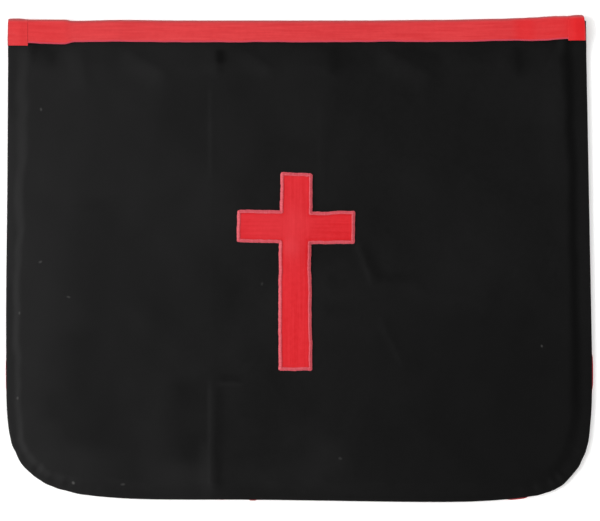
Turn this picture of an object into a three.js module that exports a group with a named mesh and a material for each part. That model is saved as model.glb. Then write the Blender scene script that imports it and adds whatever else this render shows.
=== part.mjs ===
// A ceremonial apron of black cloth, worn at the waist and shown lying flat.
// The black face cloth has its edge turned under as a hem along both sides and
// the rounded base. A red backing cloth lies under it and shows as a hairline
// at the edge. A red ribbon is folded over the top edge as a waistband, with a
// doubled end and a small end tab at each corner. A red cross is sewn on the
// face, with a raised border of close stitches round it.
//
// Millimetres. X runs across the apron, Y towards the waistband, and Z out of
// the face. The origin is the middle of the rectangle that the apron covers,
// on the surface that it lies on.

import * as THREE from "three";
import { mergeVertices } from "three/addons/utils/BufferGeometryUtils.js";

// Overall size, over the red hairline at both sides and the waistband's high end
const apronWidth = 406.4;
const apronHeight = 336.3;

// Thickness of each cloth, and the room between one layer and the next
const clothThickness = 1.0;
const backThickness = 1.0;
const ribbonThickness = 1.0;
const layerGap = 0.3;

// Outline of the face cloth
const leftTopInset = 1.4;
const rightTopInset = 4.9;
const leftBaseRise = 1.7;
const leftCornerWide = 149;
const leftCornerTall = 93;
const leftCornerPower = 4.1;
const rightCornerWide = 97;
const rightCornerTall = 98;
const rightCornerPower = 3.8;

// Hem and the raised middle of the face cloth, rimReach being how far in from
// the edge its rim is shaped
const hemWidth = 14;
const hemFoldDepth = 3;
const hemFoldRound = 0.9;
const rimReach = 22;
const faceRise = 2.5;
const leftShoulderInset = 8;
const rightShoulderInset = 12;
const shoulderWidth = 9;
const topShoulderWidth = 19;

// Backing cloth: how far it hides inside the edge, how far it can show past it,
// and the run in which it climbs over the waistband's back flap
const backHidden = 1.2;
const backShown = 0.6;
const backRampWidth = 13;

// Waistband and its end tabs
const bandHeight = 14.3;
const bandEndRise = 3.2;
const tabTopClearance = 3.6;
const leftTabWidth = 14;
const leftTabDrop = 1.4;
const rightTabWidth = 12;
const rightTabDrop = 0.5;

// Cross, measured over its stitched border
const crossHeight = 137.4;
const crossWidth = 82.4;
const crossBarWidth = 22.9;
const crossBarBelowTop = 37.3;
const crossCentreX = -2.7;
const crossCentreY = -8.8;
const crossTurn = THREE.MathUtils.degToRad(-0.5);
const crossThickness = 1.0;
const borderOverhang = 1.0;
const borderLap = 1.2;
const borderThickness = 1.0;

// Colours and roughness
const blackColour = "#1b1a1b";
const backingColour = "#a8242b";
const ribbonColour = "#c93238";
const crossColour = "#cc2a33";
const threadColour = "#d4585c";
const clothRoughness = 0.9;
const ribbonRoughness = 0.6;
const threadRoughness = 0.55;

// Relief of the face cloth
const creaseHeight = 0.6;
const creaseWidth = 5;
const puckerDepth = 0.7;
const puckerReach = 17;

// How finely the pieces are divided
const faceSpacing = 20;
const faceCornerSteps = 7;
const backSpacing = 34;
const backCornerSteps = 5;
const bandSpacing = 12;
const tabSpacing = 5;
const foldSteps = 6;
const rimDivisions = 4;

// The waistband from its left end to its right end. along is a share of its
// length, lift a share of bandEndRise by which its top stands above the middle
// stretch, drop a share of bandHeight by which its lower edge hangs below it,
// and doubled a share of ribbonThickness that the turned-in end adds.
const bandSections = [
  { along: 0.0, lift: -0.2, drop: 0.11, doubled: 0.3 },
  { along: 0.005, lift: 0.22, drop: 0.11, doubled: 0.3 },
  { along: 0.098, lift: 0.2, drop: 0.11, doubled: 0.3 },
  { along: 0.112, lift: -0.07, drop: 0.05, doubled: 0.0 },
  { along: 0.195, lift: 0.13, drop: 0.0, doubled: 0.0 },
  { along: 0.3, lift: 0.0, drop: 0.0, doubled: 0.0 },
  { along: 0.6, lift: 0.0, drop: 0.01, doubled: 0.0 },
  { along: 0.75, lift: 0.15, drop: -0.01, doubled: 0.0 },
  { along: 0.85, lift: 0.37, drop: -0.01, doubled: 0.0 },
  { along: 0.888, lift: 0.54, drop: -0.03, doubled: 0.0 },
  { along: 0.905, lift: 0.65, drop: -0.05, doubled: 0.3 },
  { along: 0.95, lift: 0.95, drop: -0.08, doubled: 0.3 },
  { along: 0.992, lift: 1.0, drop: -0.085, doubled: 0.3 },
  { along: 1.0, lift: -0.6, drop: -0.085, doubled: 0.3 },
];

// Pressed folds in the face cloth. Ends are shares of apronWidth and
// apronHeight from the origin, and high is a share of creaseHeight.
const creases = [
  { fromX: -0.15, fromY: 0.3, toX: -0.15, toY: -0.48, high: 0.9 },
  { fromX: 0.036, fromY: 0.4, toX: 0.036, toY: 0.2, high: 0.4 },
  { fromX: 0.125, fromY: 0.02, toX: 0.176, toY: -0.22, high: 0.6 },
];

// Dips that the waistband's sewing pulls into the face cloth below it. along
// and breadth are shares of apronWidth, slant moves a dip's lower end sideways
// as a share of puckerReach, and deep is a share of puckerDepth.
const puckers = [
  { along: 0.06, breadth: 0.03, slant: 0.3, deep: 0.8 },
  { along: 0.14, breadth: 0.025, slant: 0.9, deep: 0.6 },
  { along: 0.265, breadth: 0.03, slant: 1.1, deep: 0.8 },
  { along: 0.365, breadth: 0.025, slant: 0.3, deep: 1.0 },
  { along: 0.455, breadth: 0.03, slant: 1.2, deep: 0.5 },
  { along: 0.565, breadth: 0.025, slant: 0.1, deep: 0.9 },
  { along: 0.695, breadth: 0.035, slant: 1.2, deep: 0.8 },
  { along: 0.79, breadth: 0.025, slant: 0.8, deep: 0.5 },
  { along: 0.875, breadth: 0.025, slant: 0.2, deep: 1.0 },
];

// Where the backing shows past the face cloth. run names the part of the edge,
// at is the place on it as a share of apronWidth or apronHeight from the
// origin, half is half its length as such a share, and out a share of
// backShown.
const peeks = [
  { run: "left", at: -0.238, half: 0.07, out: 1.0 },
  { run: "right", at: -0.227, half: 0.06, out: 1.0 },
  { run: "base", at: -0.131, half: 0.014, out: 0.7 },
  { run: "base", at: -0.078, half: 0.015, out: 0.9 },
  { run: "base", at: 0.372, half: 0.03, out: 1.0 },
];

const { lerp, clamp, smoothstep } = THREE.MathUtils;
const faceHalfWidth = apronWidth / 2 - backShown;
const bandTopLevel = apronHeight / 2 - bandEndRise;
const hemThickness = 2 * clothThickness + layerGap;
const backFlapLevel = ribbonThickness + layerGap;

// A table's column at a place, eased from each row to the next
function fromTable(rows, along, column) {
  const above = rows.findIndex((row) => row.along > along);
  const upper = above < 0 ? rows.length - 1 : Math.max(above, 1);
  const [from, to] = [rows[upper - 1], rows[upper]];
  return lerp(from[column], to[column], smoothstep(along, from.along, to.along));
}

// A hump that is 1 in its middle third and 0 beyond its half length
function hump(offset, half) {
  return 1 - smoothstep(Math.abs(offset), half / 3, half);
}

// Outline of the face cloth: near upright sides, two corners and the base

// A lower corner is a quarter of a superellipse that joins a side to the base.
function makeCorner(side, wide, tall, power, base) {
  const centreX = side * (faceHalfWidth - wide);
  return { side, wide, tall, power, base, centreX, centreY: base + tall };
}

const baseLevel = -apronHeight / 2;
const leftBaseLevel = baseLevel + leftBaseRise;
const left = makeCorner(-1, leftCornerWide, leftCornerTall, leftCornerPower, leftBaseLevel);
const right = makeCorner(1, rightCornerWide, rightCornerTall, rightCornerPower, baseLevel);

// Points round a corner from the side to the base, closer together where it bends
function cornerArc(corner, steps) {
  const { side, wide, tall, power, centreX, centreY } = corner;
  const points = [];
  for (let step = 0; step <= 2 * steps; step += 1) {
    const turn = (Math.PI / 2) * (step / (2 * steps));
    const across = Math.max(Math.cos(turn), 0) ** (2 / power);
    const down = Math.sin(turn) ** (2 / power);
    points.push({ x: centreX + side * wide * across, y: centreY - tall * down });
  }
  return points;
}

function sideX(corner, y) {
  const inset = corner.side < 0 ? leftTopInset : rightTopInset;
  const up = clamp((y - corner.centreY) / (apronHeight / 2 - corner.centreY), 0, 1);
  const down = clamp((corner.centreY - y) / corner.tall, 0, 1);
  const across = (1 - down ** corner.power) ** (1 / corner.power);
  return corner.centreX + corner.side * (corner.wide * across - inset * up);
}

function baseY(x) {
  if (x > left.centreX && x < right.centreX) {
    return lerp(left.base, right.base, smoothstep(x, left.centreX, right.centreX));
  }
  const corner = x < 0 ? left : right;
  const across = clamp((corner.side * (x - corner.centreX)) / corner.wide, 0, 1);
  return corner.centreY - corner.tall * (1 - across ** corner.power) ** (1 / corner.power);
}

// Unit step inwards from the edge at one of its points
function inwardAt(corner, x, y) {
  const across = clamp((corner.side * (x - corner.centreX)) / corner.wide, 0, 1);
  const down = clamp((corner.centreY - y) / corner.tall, 0, 1);
  const inX = (-corner.side * across ** (corner.power - 1)) / corner.wide;
  const inY = down ** (corner.power - 1) / corner.tall;
  const length = Math.hypot(inX, inY);
  return [inX / length, inY / length];
}

// Waistband edges

const bandLeft = sideX(left, bandTopLevel);
const bandRight = sideX(right, bandTopLevel);

function bandShare(x) {
  return clamp((x - bandLeft) / (bandRight - bandLeft), 0, 1);
}

function bandTop(x) {
  return bandTopLevel + bandEndRise * fromTable(bandSections, bandShare(x), "lift");
}

function bandLip(x) {
  return bandTopLevel - bandHeight * (1 + fromTable(bandSections, bandShare(x), "drop"));
}

// The cloths end where the round inside of the ribbon's fold begins.
function clothTop(x) {
  return bandTop(x) - ribbonThickness - (backThickness + hemThickness + 3 * layerGap) / 2;
}

// Heights over the surface that the apron lies on

// The backing lies on that surface and climbs over the waistband's back flap.
function backUnder(x, y) {
  const flapEdge = bandLip(x) - layerGap;
  return backFlapLevel * smoothstep(y, flapEdge - backRampWidth, flapEdge);
}

function faceUnder(x, y) {
  return backUnder(x, y) + backThickness + layerGap;
}

// A ridge along a line that dies away at both ends and both sides
function creaseAt(x, y, crease) {
  const fromX = crease.fromX * apronWidth;
  const fromY = crease.fromY * apronHeight;
  const runX = crease.toX * apronWidth - fromX;
  const runY = crease.toY * apronHeight - fromY;
  const length = Math.hypot(runX, runY);
  const along = ((x - fromX) * runX + (y - fromY) * runY) / length;
  const across = ((x - fromX) * runY - (y - fromY) * runX) / length;
  const ends = hump(along - length / 2, length / 2);
  return crease.high * ends * Math.exp(-((across / creaseWidth) ** 2));
}

function puckerAt(x, below, pucker) {
  const middle = apronWidth * (pucker.along - 0.5) + pucker.slant * below;
  const across = (x - middle) / (pucker.breadth * apronWidth);
  const fade = hump(below - puckerReach / 2, puckerReach / 2);
  return pucker.deep * fade * Math.exp(-(across ** 2));
}

function relief(x, y) {
  const below = bandLip(x) - y;
  const ridges = creases.reduce((sum, crease) => sum + creaseAt(x, y, crease), 0);
  const dips = puckers.reduce((sum, pucker) => sum + puckerAt(x, below, pucker), 0);
  return creaseHeight * ridges - puckerDepth * dips;
}

// How far the face has risen to its raised middle, inset being the way in from
// the edge. The shoulder lies further in on the right than on the left.
function raisedShare(x, y, inset) {
  const toRight = smoothstep(x, 0, faceHalfWidth);
  const middle = lerp(leftShoulderInset, rightShoulderInset, toRight);
  const fromEdge = smoothstep(inset, middle - shoulderWidth / 2, middle + shoulderWidth / 2);
  return fromEdge * smoothstep(bandLip(x) - y, 0, topShoulderWidth);
}

// Height of the face cloth's upper side
function faceTop(x, y, inset) {
  const raised = raisedShare(x, y, inset);
  const onHem = 1 - smoothstep(inset, hemWidth, rimReach - 1);
  const high = lerp((hemThickness - clothThickness) * onHem, faceRise, raised);
  return faceUnder(x, y) + clothThickness + high + raised * relief(x, y);
}

// Skins: lists of triangle corners that together close a solid

function addTriangle(skin, a, b, c) {
  skin.push(...a, ...b, ...c);
}

// Seen from outside, the rows of a net run down and its columns to the right.
function addNet(skin, rows, columns, pointAt) {
  for (let row = 0; row < rows; row += 1) {
    for (let column = 0; column < columns; column += 1) {
      const corner = pointAt(row + 1, column);
      const opposite = pointAt(row, column + 1);
      addTriangle(skin, pointAt(row, column), corner, opposite);
      addTriangle(skin, corner, pointAt(row + 1, column + 1), opposite);
    }
  }
}

// A lid over a closed loop, seenAs giving each point as it looks from outside
function addLid(skin, loop, seenAs) {
  const flat = loop.map((point) => new THREE.Vector2(...seenAs(point)));
  for (const [a, b, c] of THREE.ShapeUtils.triangulateShape(flat, [])) {
    addTriangle(skin, loop[a], loop[b], loop[c]);
  }
}

const seenFromLeft = ([, y, z]) => [-y, z];
const seenFromRight = ([, y, z]) => [y, z];
const seenFromTop = ([x, y]) => [x, y];
const seenFromUnder = ([x, y]) => [-x, y];
const seenFromWaist = ([x, , z]) => [-x, z];

function meshOf(name, skin, material) {
  const geometry = new THREE.BufferGeometry();
  geometry.setAttribute("position", new THREE.Float32BufferAttribute(skin, 3));
  const welded = mergeVertices(geometry, 1e-4);
  welded.computeVertexNormals();
  const mesh = new THREE.Mesh(welded, material);
  mesh.name = name;
  return mesh;
}

// Panels: cloths with a rim carried round the edge and a patch for the middle

// Places in order, with each wide gap between them divided evenly
function fillGaps(places, spacing) {
  const filled = [places[0]];
  for (let index = 1; index < places.length; index += 1) {
    const from = places[index - 1];
    const gap = places[index] - from;
    const parts = Math.max(1, Math.round(Math.abs(gap) / spacing));
    for (let part = 1; part <= parts; part += 1) filled.push(from + (gap * part) / parts);
  }
  return filled;
}

// Stations down one side, close together where the cloth climbs to the waistband
function sideStations(corner, arc, spacing) {
  const topX = sideX(corner, bandTopLevel);
  const lip = bandLip(topX);
  const rampEnd = lip - backRampWidth;
  const near = [clothTop(topX), lip, lerp(lip, rampEnd, 1 / 3), lerp(lip, rampEnd, 2 / 3), rampEnd];
  const places = [...near, lip - topShoulderWidth, corner.centreY];
  const rows = fillGaps(places, spacing).map((y) => ({ x: sideX(corner, y), y }));
  const stations = [...rows, ...arc.slice(1)].map(({ x, y }) => ({ x, y, corner }));
  for (const station of stations) {
    const straight = station.y >= corner.centreY;
    const { x, y } = station;
    station.inward = straight ? [-corner.side, 0] : inwardAt(corner, x, y);
  }
  return stations;
}

// Stations along the base, with three at each of the marked places
function baseStations(leftArc, rightArc, spacing, marks) {
  const arcs = [...leftArc, ...rightArc].map((point) => point.x);
  const isClear = (x) => marks.every(({ at, clear }) => Math.abs(x - at) > 1.4 * clear);
  const places = arcs.filter(isClear);
  for (const { at, clear } of marks) places.push(at - clear, at, at + clear);
  places.sort((a, b) => a - b);
  return fillGaps(places, spacing).map((x) => {
    const y = baseY(x);
    const corner = x < (left.centreX + right.centreX) / 2 ? left : right;
    return { x, y, corner, inward: inwardAt(corner, x, y) };
  });
}

// All stations, down the left side, along the base and up the right side
function edgeStations(spacing, steps, marks) {
  const leftArc = cornerArc(left, steps);
  const rightArc = cornerArc(right, steps);
  const downLeft = sideStations(left, leftArc.slice(0, steps + 1), spacing);
  const downRight = sideStations(right, rightArc.slice(0, steps + 1), spacing);
  const leftBase = leftArc.slice(steps);
  const rightBase = rightArc.slice(steps).reverse();
  const base = baseStations(leftBase, rightBase, spacing, marks).slice(1, -1);
  const stations = [...downLeft, ...base, ...downRight.reverse()];
  return { stations, down: downLeft.length - 1, across: base.length + 1 };
}

// The place a way in from one station, kept on the cloth's top edge at the top
function placeIn(stations, index, inset) {
  const { x, y, inward } = stations[index];
  const atTop = index === 0 || index === stations.length - 1;
  const inX = x + inward[0] * inset;
  return [inX, atTop ? clothTop(inX) : y + inward[1] * inset];
}

// Places of the patch. Its sides and base are the inner line of the rim, its
// top is the cloth's top edge, and the rest is blended from those four.
function patchPlaces({ stations, down, across }) {
  const last = stations.length - 1;
  const inner = stations.map((station, index) => placeIn(stations, index, rimReach));
  const [topLeft, topRight] = [inner[0], inner[last]];
  const [baseLeft, baseRight] = [inner[down], inner[down + across]];
  const blend = (row, column) => {
    const [fromLeft, fromRight, base] = [inner[row], inner[last - row], inner[down + column]];
    const share = (base[0] - baseLeft[0]) / (baseRight[0] - baseLeft[0]);
    const fall = (topLeft[1] - fromLeft[1]) / (topLeft[1] - baseLeft[1]);
    const spreadLeft = (topLeft[0] - baseLeft[0]) * (1 - share) ** 3;
    const spreadRight = (topRight[0] - baseRight[0]) * share ** 3;
    const topX = base[0] + spreadLeft + spreadRight;
    const top = [topX, clothTop(topX)];
    if (row === 0) return top;
    return [0, 1].map((axis) => {
      const sides = lerp(fromLeft[axis], fromRight[axis], share);
      const ends = lerp(top[axis], base[axis], fall);
      const topLine = lerp(topLeft[axis], topRight[axis], share);
      const baseLine = lerp(baseLeft[axis], baseRight[axis], share);
      return sides + ends - lerp(topLine, baseLine, fall);
    });
  };
  const rows = [];
  for (let row = 0; row <= down; row += 1) {
    rows.push([]);
    for (let column = 0; column <= across; column += 1) {
      if (row === down) rows[row].push(inner[down + column]);
      else if (column === 0) rows[row].push(inner[row]);
      else if (column === across) rows[row].push(inner[last - row]);
      else rows[row].push(blend(row, column));
    }
  }
  return rows;
}

// A closed panel. rimAt lists a station's rim from its inner upper line round
// the edge to its inner under line, and topAt and underAt give the patch.
function panelSkin(edge, rimAt, topAt, underAt) {
  const { stations, down, across } = edge;
  const last = stations.length - 1;
  const rims = stations.map((station, index) => rimAt(index));
  const places = patchPlaces(edge);
  const top = places.map((row) => row.map(([x, y]) => [x, y, topAt(x, y)]));
  const under = places.map((row) => row.map(([x, y]) => [x, y, underAt(x, y)]));
  const skin = [];
  addNet(skin, rims[0].length - 1, last, (row, column) => rims[column][row]);
  addNet(skin, down, across, (row, column) => top[row][column]);
  addNet(skin, down, across, (row, column) => under[row][across - column]);
  addNet(skin, 1, across, (row, column) => [under, top][1 - row][0][across - column]);
  addLid(skin, rims[0], seenFromWaist);
  addLid(skin, rims[last], seenFromWaist);
  return skin;
}

// The face cloth's rim goes over the edge, back under as the hem, out again
// inside the fold and in along its own underside. The fold's outer side stands
// upright between two shares of the hem's thickness.
const hemUprightFrom = 0.3;
const hemUprightTo = 0.7;

function faceRim(stations, index) {
  const at = (inset, heightAt) => {
    const [x, y] = placeIn(stations, index, inset);
    return [x, y, heightAt(x, y, inset)];
  };
  const overHem = (share) => (x, y) => faceUnder(x, y) + share * hemThickness;
  const hemUpper = (x, y) => faceUnder(x, y) + clothThickness;
  const clothUnder = (x, y, inset) => faceTop(x, y, inset) - clothThickness;
  const outwards = fillGaps([rimReach, hemFoldDepth], (rimReach - hemFoldDepth) / rimDivisions);
  const inwards = [...outwards].reverse();
  return [
    ...[...outwards, hemFoldRound].map((inset) => at(inset, faceTop)),
    at(0, overHem(hemUprightTo)),
    at(0, overHem(hemUprightFrom)),
    at(hemFoldRound, faceUnder),
    at(hemWidth, faceUnder),
    at(hemWidth, hemUpper),
    at(hemFoldDepth, hemUpper),
    ...inwards.map((inset) => at(inset, clothUnder)),
  ];
}

function faceCloth(material) {
  const upright = creases.filter((crease) => crease.fromX === crease.toX);
  const marks = upright.map(({ fromX }) => ({ at: fromX * apronWidth, clear: 1.3 * creaseWidth }));
  const edge = edgeStations(faceSpacing, faceCornerSteps, marks);
  const topAt = (x, y) => faceTop(x, y, rimReach);
  const underAt = (x, y) => topAt(x, y) - clothThickness;
  const rimAt = (index) => faceRim(edge.stations, index);
  return meshOf("face_cloth", panelSkin(edge, rimAt, topAt, underAt), material);
}

// How far inside the face cloth's edge the backing ends, less than nothing
// where it shows past that edge
function backInset({ x, y, corner }) {
  const side = corner.side < 0 ? "left" : "right";
  const shown = peeks.map(({ run, at, half, out }) => {
    if (run === "base") return y < corner.centreY ? out * hump(x / apronWidth - at, half) : 0;
    return run === side ? out * hump(y / apronHeight - at, half) : 0;
  });
  return lerp(backHidden, -backShown, Math.max(...shown));
}

function backRim(stations, index) {
  const outset = backInset(stations[index]);
  const at = (inset, level) => {
    const [x, y] = placeIn(stations, index, inset);
    return [x, y, backUnder(x, y) + level];
  };
  return [
    at(rimReach, backThickness),
    at(outset, backThickness),
    at(outset, 0),
    at(rimReach, 0),
  ];
}

function backCloth(material) {
  const shown = peeks.filter((peek) => peek.run === "base");
  const marks = shown.map(({ at, half }) => ({ at: at * apronWidth, clear: half * apronWidth }));
  const edge = edgeStations(backSpacing, backCornerSteps, marks);
  const topAt = (x, y) => backUnder(x, y) + backThickness;
  const rimAt = (index) => backRim(edge.stations, index);
  return meshOf("back_cloth", panelSkin(edge, rimAt, topAt, backUnder), material);
}

// Waistband

// A closed loop in Y and Z for each place along X, joined into one solid
function loftSkin(xs, loopAt) {
  const loops = xs.map((x) => loopAt(x).map(([y, z]) => [x, y, z]));
  const size = loops[0].length;
  const skin = [];
  addNet(skin, size, xs.length - 1, (row, column) => loops[column][row % size]);
  addLid(skin, loops[0], seenFromLeft);
  addLid(skin, loops[loops.length - 1], seenFromRight);
  return skin;
}

// Inner level of the waistband's front flap, over the cloths that it holds
function frontFlapUnder(x) {
  const inset = Math.min(x - bandLeft, bandRight - x);
  return faceTop(x, bandLip(x), inset) + layerGap;
}

function frontFlapTop(x) {
  const doubled = fromTable(bandSections, bandShare(x), "doubled");
  return frontFlapUnder(x) + ribbonThickness * (1 + doubled);
}

// Half turn of the fold, from its lower end to its upper end
function foldArc(centreY, low, high, out) {
  const middle = (low + high) / 2;
  const points = [];
  for (let step = 0; step <= foldSteps; step += 1) {
    const turn = Math.PI * (step / foldSteps);
    points.push([centreY + out * Math.sin(turn), middle - ((high - low) / 2) * Math.cos(turn)]);
  }
  return points;
}

// The ribbon's section: back flap, fold over the top edge, front flap, and
// the same again on its inner side
function bandLoop(x) {
  const lip = bandLip(x);
  const top = frontFlapTop(x);
  const outerTurn = bandTop(x) - clothTop(x);
  const outer = foldArc(clothTop(x), 0, top, outerTurn);
  const innerTurn = outerTurn - ribbonThickness;
  const inner = foldArc(clothTop(x), ribbonThickness, frontFlapUnder(x), innerTurn).reverse();
  const frontLip = [[lip, top], [lip, frontFlapUnder(x)]];
  const backLip = [[lip, ribbonThickness]];
  return [[lip, 0], ...outer, ...frontLip, ...inner, ...backLip];
}

function waistband(material) {
  const hemEnds = [hemWidth, rimReach - 1];
  const places = bandSections.map(({ along }) => lerp(bandLeft, bandRight, along));
  for (const end of hemEnds) places.push(bandLeft + end, bandRight - end);
  places.sort((a, b) => a - b);
  return meshOf("waistband", loftSkin(fillGaps(places, bandSpacing), bandLoop), material);
}

// A folded end of ribbon that lies on the waistband and hangs just below it
function endTab(name, ends, drop, material) {
  const loopAt = (x) => {
    const low = bandLip(x) - drop;
    const high = bandTop(x) - tabTopClearance;
    const under = frontFlapTop(x) + layerGap;
    const top = under + ribbonThickness;
    return [[low, under], [high, under], [high, top], [low, top]];
  };
  return meshOf(name, loftSkin(fillGaps(ends, tabSpacing), loopAt), material);
}

// Cross

const crossLevel = faceTop(crossCentreX, crossCentreY, rimReach) + layerGap;

// The cross outline moved out by a way, in order round it as seen from above
function crossLoop(out, level) {
  const halfWide = crossWidth / 2 + out;
  const halfTall = crossHeight / 2 + out;
  const halfBar = crossBarWidth / 2 + out;
  const barY = crossHeight / 2 - crossBarBelowTop;
  const rightHalf = [
    [halfBar, -halfTall],
    [halfBar, barY - halfBar],
    [halfWide, barY - halfBar],
    [halfWide, barY + halfBar],
    [halfBar, barY + halfBar],
    [halfBar, halfTall],
  ];
  const leftHalf = rightHalf.map(([x, y]) => [-x, y]).reverse();
  return [...rightHalf, ...leftHalf].map(([x, y]) => {
    const place = new THREE.Vector2(x, y).rotateAround(new THREE.Vector2(), crossTurn);
    return [crossCentreX + place.x, crossCentreY + place.y, level];
  });
}

const crossClothOut = -(borderOverhang + layerGap);

function crossCloth(material) {
  const top = crossLoop(crossClothOut, crossLevel + crossThickness);
  const under = crossLoop(crossClothOut, crossLevel);
  const size = top.length;
  const skin = [];
  addNet(skin, 1, size, (row, column) => [top, under][row][column % size]);
  addLid(skin, top, seenFromTop);
  addLid(skin, under, seenFromUnder);
  return meshOf("cross_cloth", skin, material);
}

// The border's section stands on the face beside the cross and laps over it.
function crossBorder(material) {
  const lapLevel = crossLevel + crossThickness + layerGap;
  const crown = lapLevel + borderThickness;
  const shoulder = lapLevel + borderThickness / 2;
  const wallOut = -borderOverhang;
  const lapOut = crossClothOut - borderLap;
  const loops = [
    crossLoop(lerp(wallOut, lapOut, 0.6), crown),
    crossLoop(lerp(wallOut, 0, 0.5), crown),
    crossLoop(0, shoulder),
    crossLoop(0, crossLevel),
    crossLoop(wallOut, crossLevel),
    crossLoop(wallOut, lapLevel),
    crossLoop(lapOut, lapLevel),
    crossLoop(lapOut, shoulder),
  ];
  const [rows, columns] = [loops.length, loops[0].length];
  const skin = [];
  addNet(skin, rows, columns, (row, column) => loops[row % rows][column % columns]);
  return meshOf("cross_border", skin, material);
}

function fabric(name, color, roughness) {
  return new THREE.MeshStandardMaterial({ name, color, roughness, metalness: 0 });
}

function ribbon(name) {
  return fabric(name, ribbonColour, ribbonRoughness);
}

function buildApron() {
  const group = new THREE.Group();
  group.name = "apron";
  const leftTab = [bandLeft + layerGap, bandLeft + leftTabWidth];
  const rightTab = [bandRight - rightTabWidth, bandRight - layerGap];
  group.add(
    faceCloth(fabric("black_cloth", blackColour, clothRoughness)),
    backCloth(fabric("red_backing", backingColour, clothRoughness)),
    waistband(ribbon("red_ribbon")),
    endTab("end_tab_left", leftTab, leftTabDrop, ribbon("left_tab_ribbon")),
    endTab("end_tab_right", rightTab, rightTabDrop, ribbon("right_tab_ribbon")),
    crossCloth(fabric("red_cross_cloth", crossColour, clothRoughness)),
    crossBorder(fabric("border_thread", threadColour, threadRoughness)),
  );
  return group;
}

export default buildApron();
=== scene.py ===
"""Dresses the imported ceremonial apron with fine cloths, ribbon, cross and stitching.

The apron lies flat with its face up. Lengths are in metres. X runs across the
apron, Y towards the waistband and Z out of the face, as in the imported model.
"""

import logging
import math
from dataclasses import dataclass, field
from enum import Enum
from typing import Optional, Sequence

import bpy
import numpy as np
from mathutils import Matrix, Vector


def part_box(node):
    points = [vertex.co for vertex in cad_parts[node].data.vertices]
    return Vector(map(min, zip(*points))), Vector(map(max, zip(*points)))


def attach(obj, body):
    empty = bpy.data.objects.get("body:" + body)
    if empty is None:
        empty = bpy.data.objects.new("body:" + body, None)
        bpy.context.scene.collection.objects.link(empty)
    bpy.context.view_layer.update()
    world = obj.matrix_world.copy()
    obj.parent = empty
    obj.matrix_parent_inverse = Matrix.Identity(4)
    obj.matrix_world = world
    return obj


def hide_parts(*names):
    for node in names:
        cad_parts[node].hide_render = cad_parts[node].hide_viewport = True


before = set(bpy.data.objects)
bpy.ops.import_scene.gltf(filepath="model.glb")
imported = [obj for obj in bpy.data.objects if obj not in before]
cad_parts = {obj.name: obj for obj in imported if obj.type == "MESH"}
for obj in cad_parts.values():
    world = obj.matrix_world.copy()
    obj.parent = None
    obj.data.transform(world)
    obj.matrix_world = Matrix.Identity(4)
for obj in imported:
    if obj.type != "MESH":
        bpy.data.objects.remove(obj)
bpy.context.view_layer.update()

LOG = logging.getLogger("apron")
MM = 0.001

Array = np.ndarray
Colour = tuple[float, float, float]
Row = tuple[float, ...]
Material = bpy.types.Material
Piece = bpy.types.Object
Socket = bpy.types.NodeSocket
Sockets = bpy.types.bpy_prop_collection
Tree = bpy.types.NodeTree


# Plain measures


def smoothstep(value: Array, low: float, high: float) -> Array:
    """Rises from 0 at low to 1 at high as 3t² − 2t³."""
    share = np.clip((value - low) / (high - low), 0.0, 1.0)
    return share * share * (3.0 - 2.0 * share)


def fall(value: Array, low: float, high: float) -> Array:
    """Falls from 1 at low to 0 at high, as 1 less the smoothstep."""
    return 1.0 - smoothstep(value, low, high)


def mix(first: Array, second: Array, share: Array) -> Array:
    """The place a share of the way from first to second."""
    return first + (second - first) * share


def bell(offset: Array) -> Array:
    """The bell curve exp(−offset²)."""
    return np.exp(-(offset**2))


def hump(offset: Array, half: float) -> Array:
    """1 in the middle third of a stretch and 0 beyond its half length."""
    return fall(np.abs(offset), half / 3.0, half)


@dataclass(frozen=True)
class Wobble:
    """Smooth, seeded unevenness with a mean square of 1.

    The formula is a sum of sine waves whose lengths run evenly, as ratios, from
    longest to shortest, each as high as the square root of its length.
    """

    seed: int
    longest: float
    shortest: float
    waves: int

    def _spectrum(self) -> tuple[Array, Array, Array, Array]:
        """Wave numbers, phases, headings and heights of the waves."""
        draw = np.random.default_rng(self.seed)
        lengths = np.geomspace(self.longest, self.shortest, self.waves)
        heights = np.sqrt(lengths)
        heights /= np.sqrt(np.sum(heights**2) / 2.0)
        phases = draw.uniform(0.0, 2.0 * np.pi, self.waves)
        headings = draw.uniform(0.0, 2.0 * np.pi, self.waves)
        return 2.0 * np.pi / lengths, phases, headings, heights

    def along(self, distance: Array) -> Array:
        """Unevenness along a line, at each distance."""
        numbers, phases, _, heights = self._spectrum()
        turns = np.asarray(distance)[..., None] * numbers + phases
        return np.sum(heights * np.sin(turns), axis=-1)

    def over(self, x: Array, y: Array) -> Array:
        """Unevenness over the plane, each wave running along its own heading."""
        numbers, phases, headings, heights = self._spectrum()
        across = np.asarray(x)[..., None] * np.cos(headings) + np.asarray(y)[..., None] * np.sin(headings)
        return np.sum(heights * np.sin(across * numbers + phases), axis=-1)


# Meshes from arrays


def net_faces(index: Array) -> Array:
    """Quads of a net, given its vertex numbers with rows down and columns right."""
    corners = (index[:-1, :-1], index[1:, :-1], index[1:, 1:], index[:-1, 1:])
    return np.stack(corners, axis=-1).reshape(-1, 4)


def grid_faces(rows: int, columns: int, closed: bool = False) -> Array:
    """Quads of a grid, joined to its first row and column where it is closed."""
    index = np.arange(rows * columns).reshape(rows, columns)
    return net_faces(np.pad(index, (0, 1), mode="wrap") if closed else index)


def shell_faces(rows: int, columns: int) -> Array:
    """Quads that close a shell, its outer net numbered first and its inner one after it."""
    outer = np.arange(rows * columns).reshape(rows, columns)
    rim = np.concatenate([outer[0, :-1], outer[:-1, -1], outer[-1, :0:-1], outer[::-1, 0]])
    sides = net_faces(np.stack([rim + outer.size, rim]))
    return np.concatenate([net_faces(outer), net_faces(outer + outer.size)[:, ::-1], sides])


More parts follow.
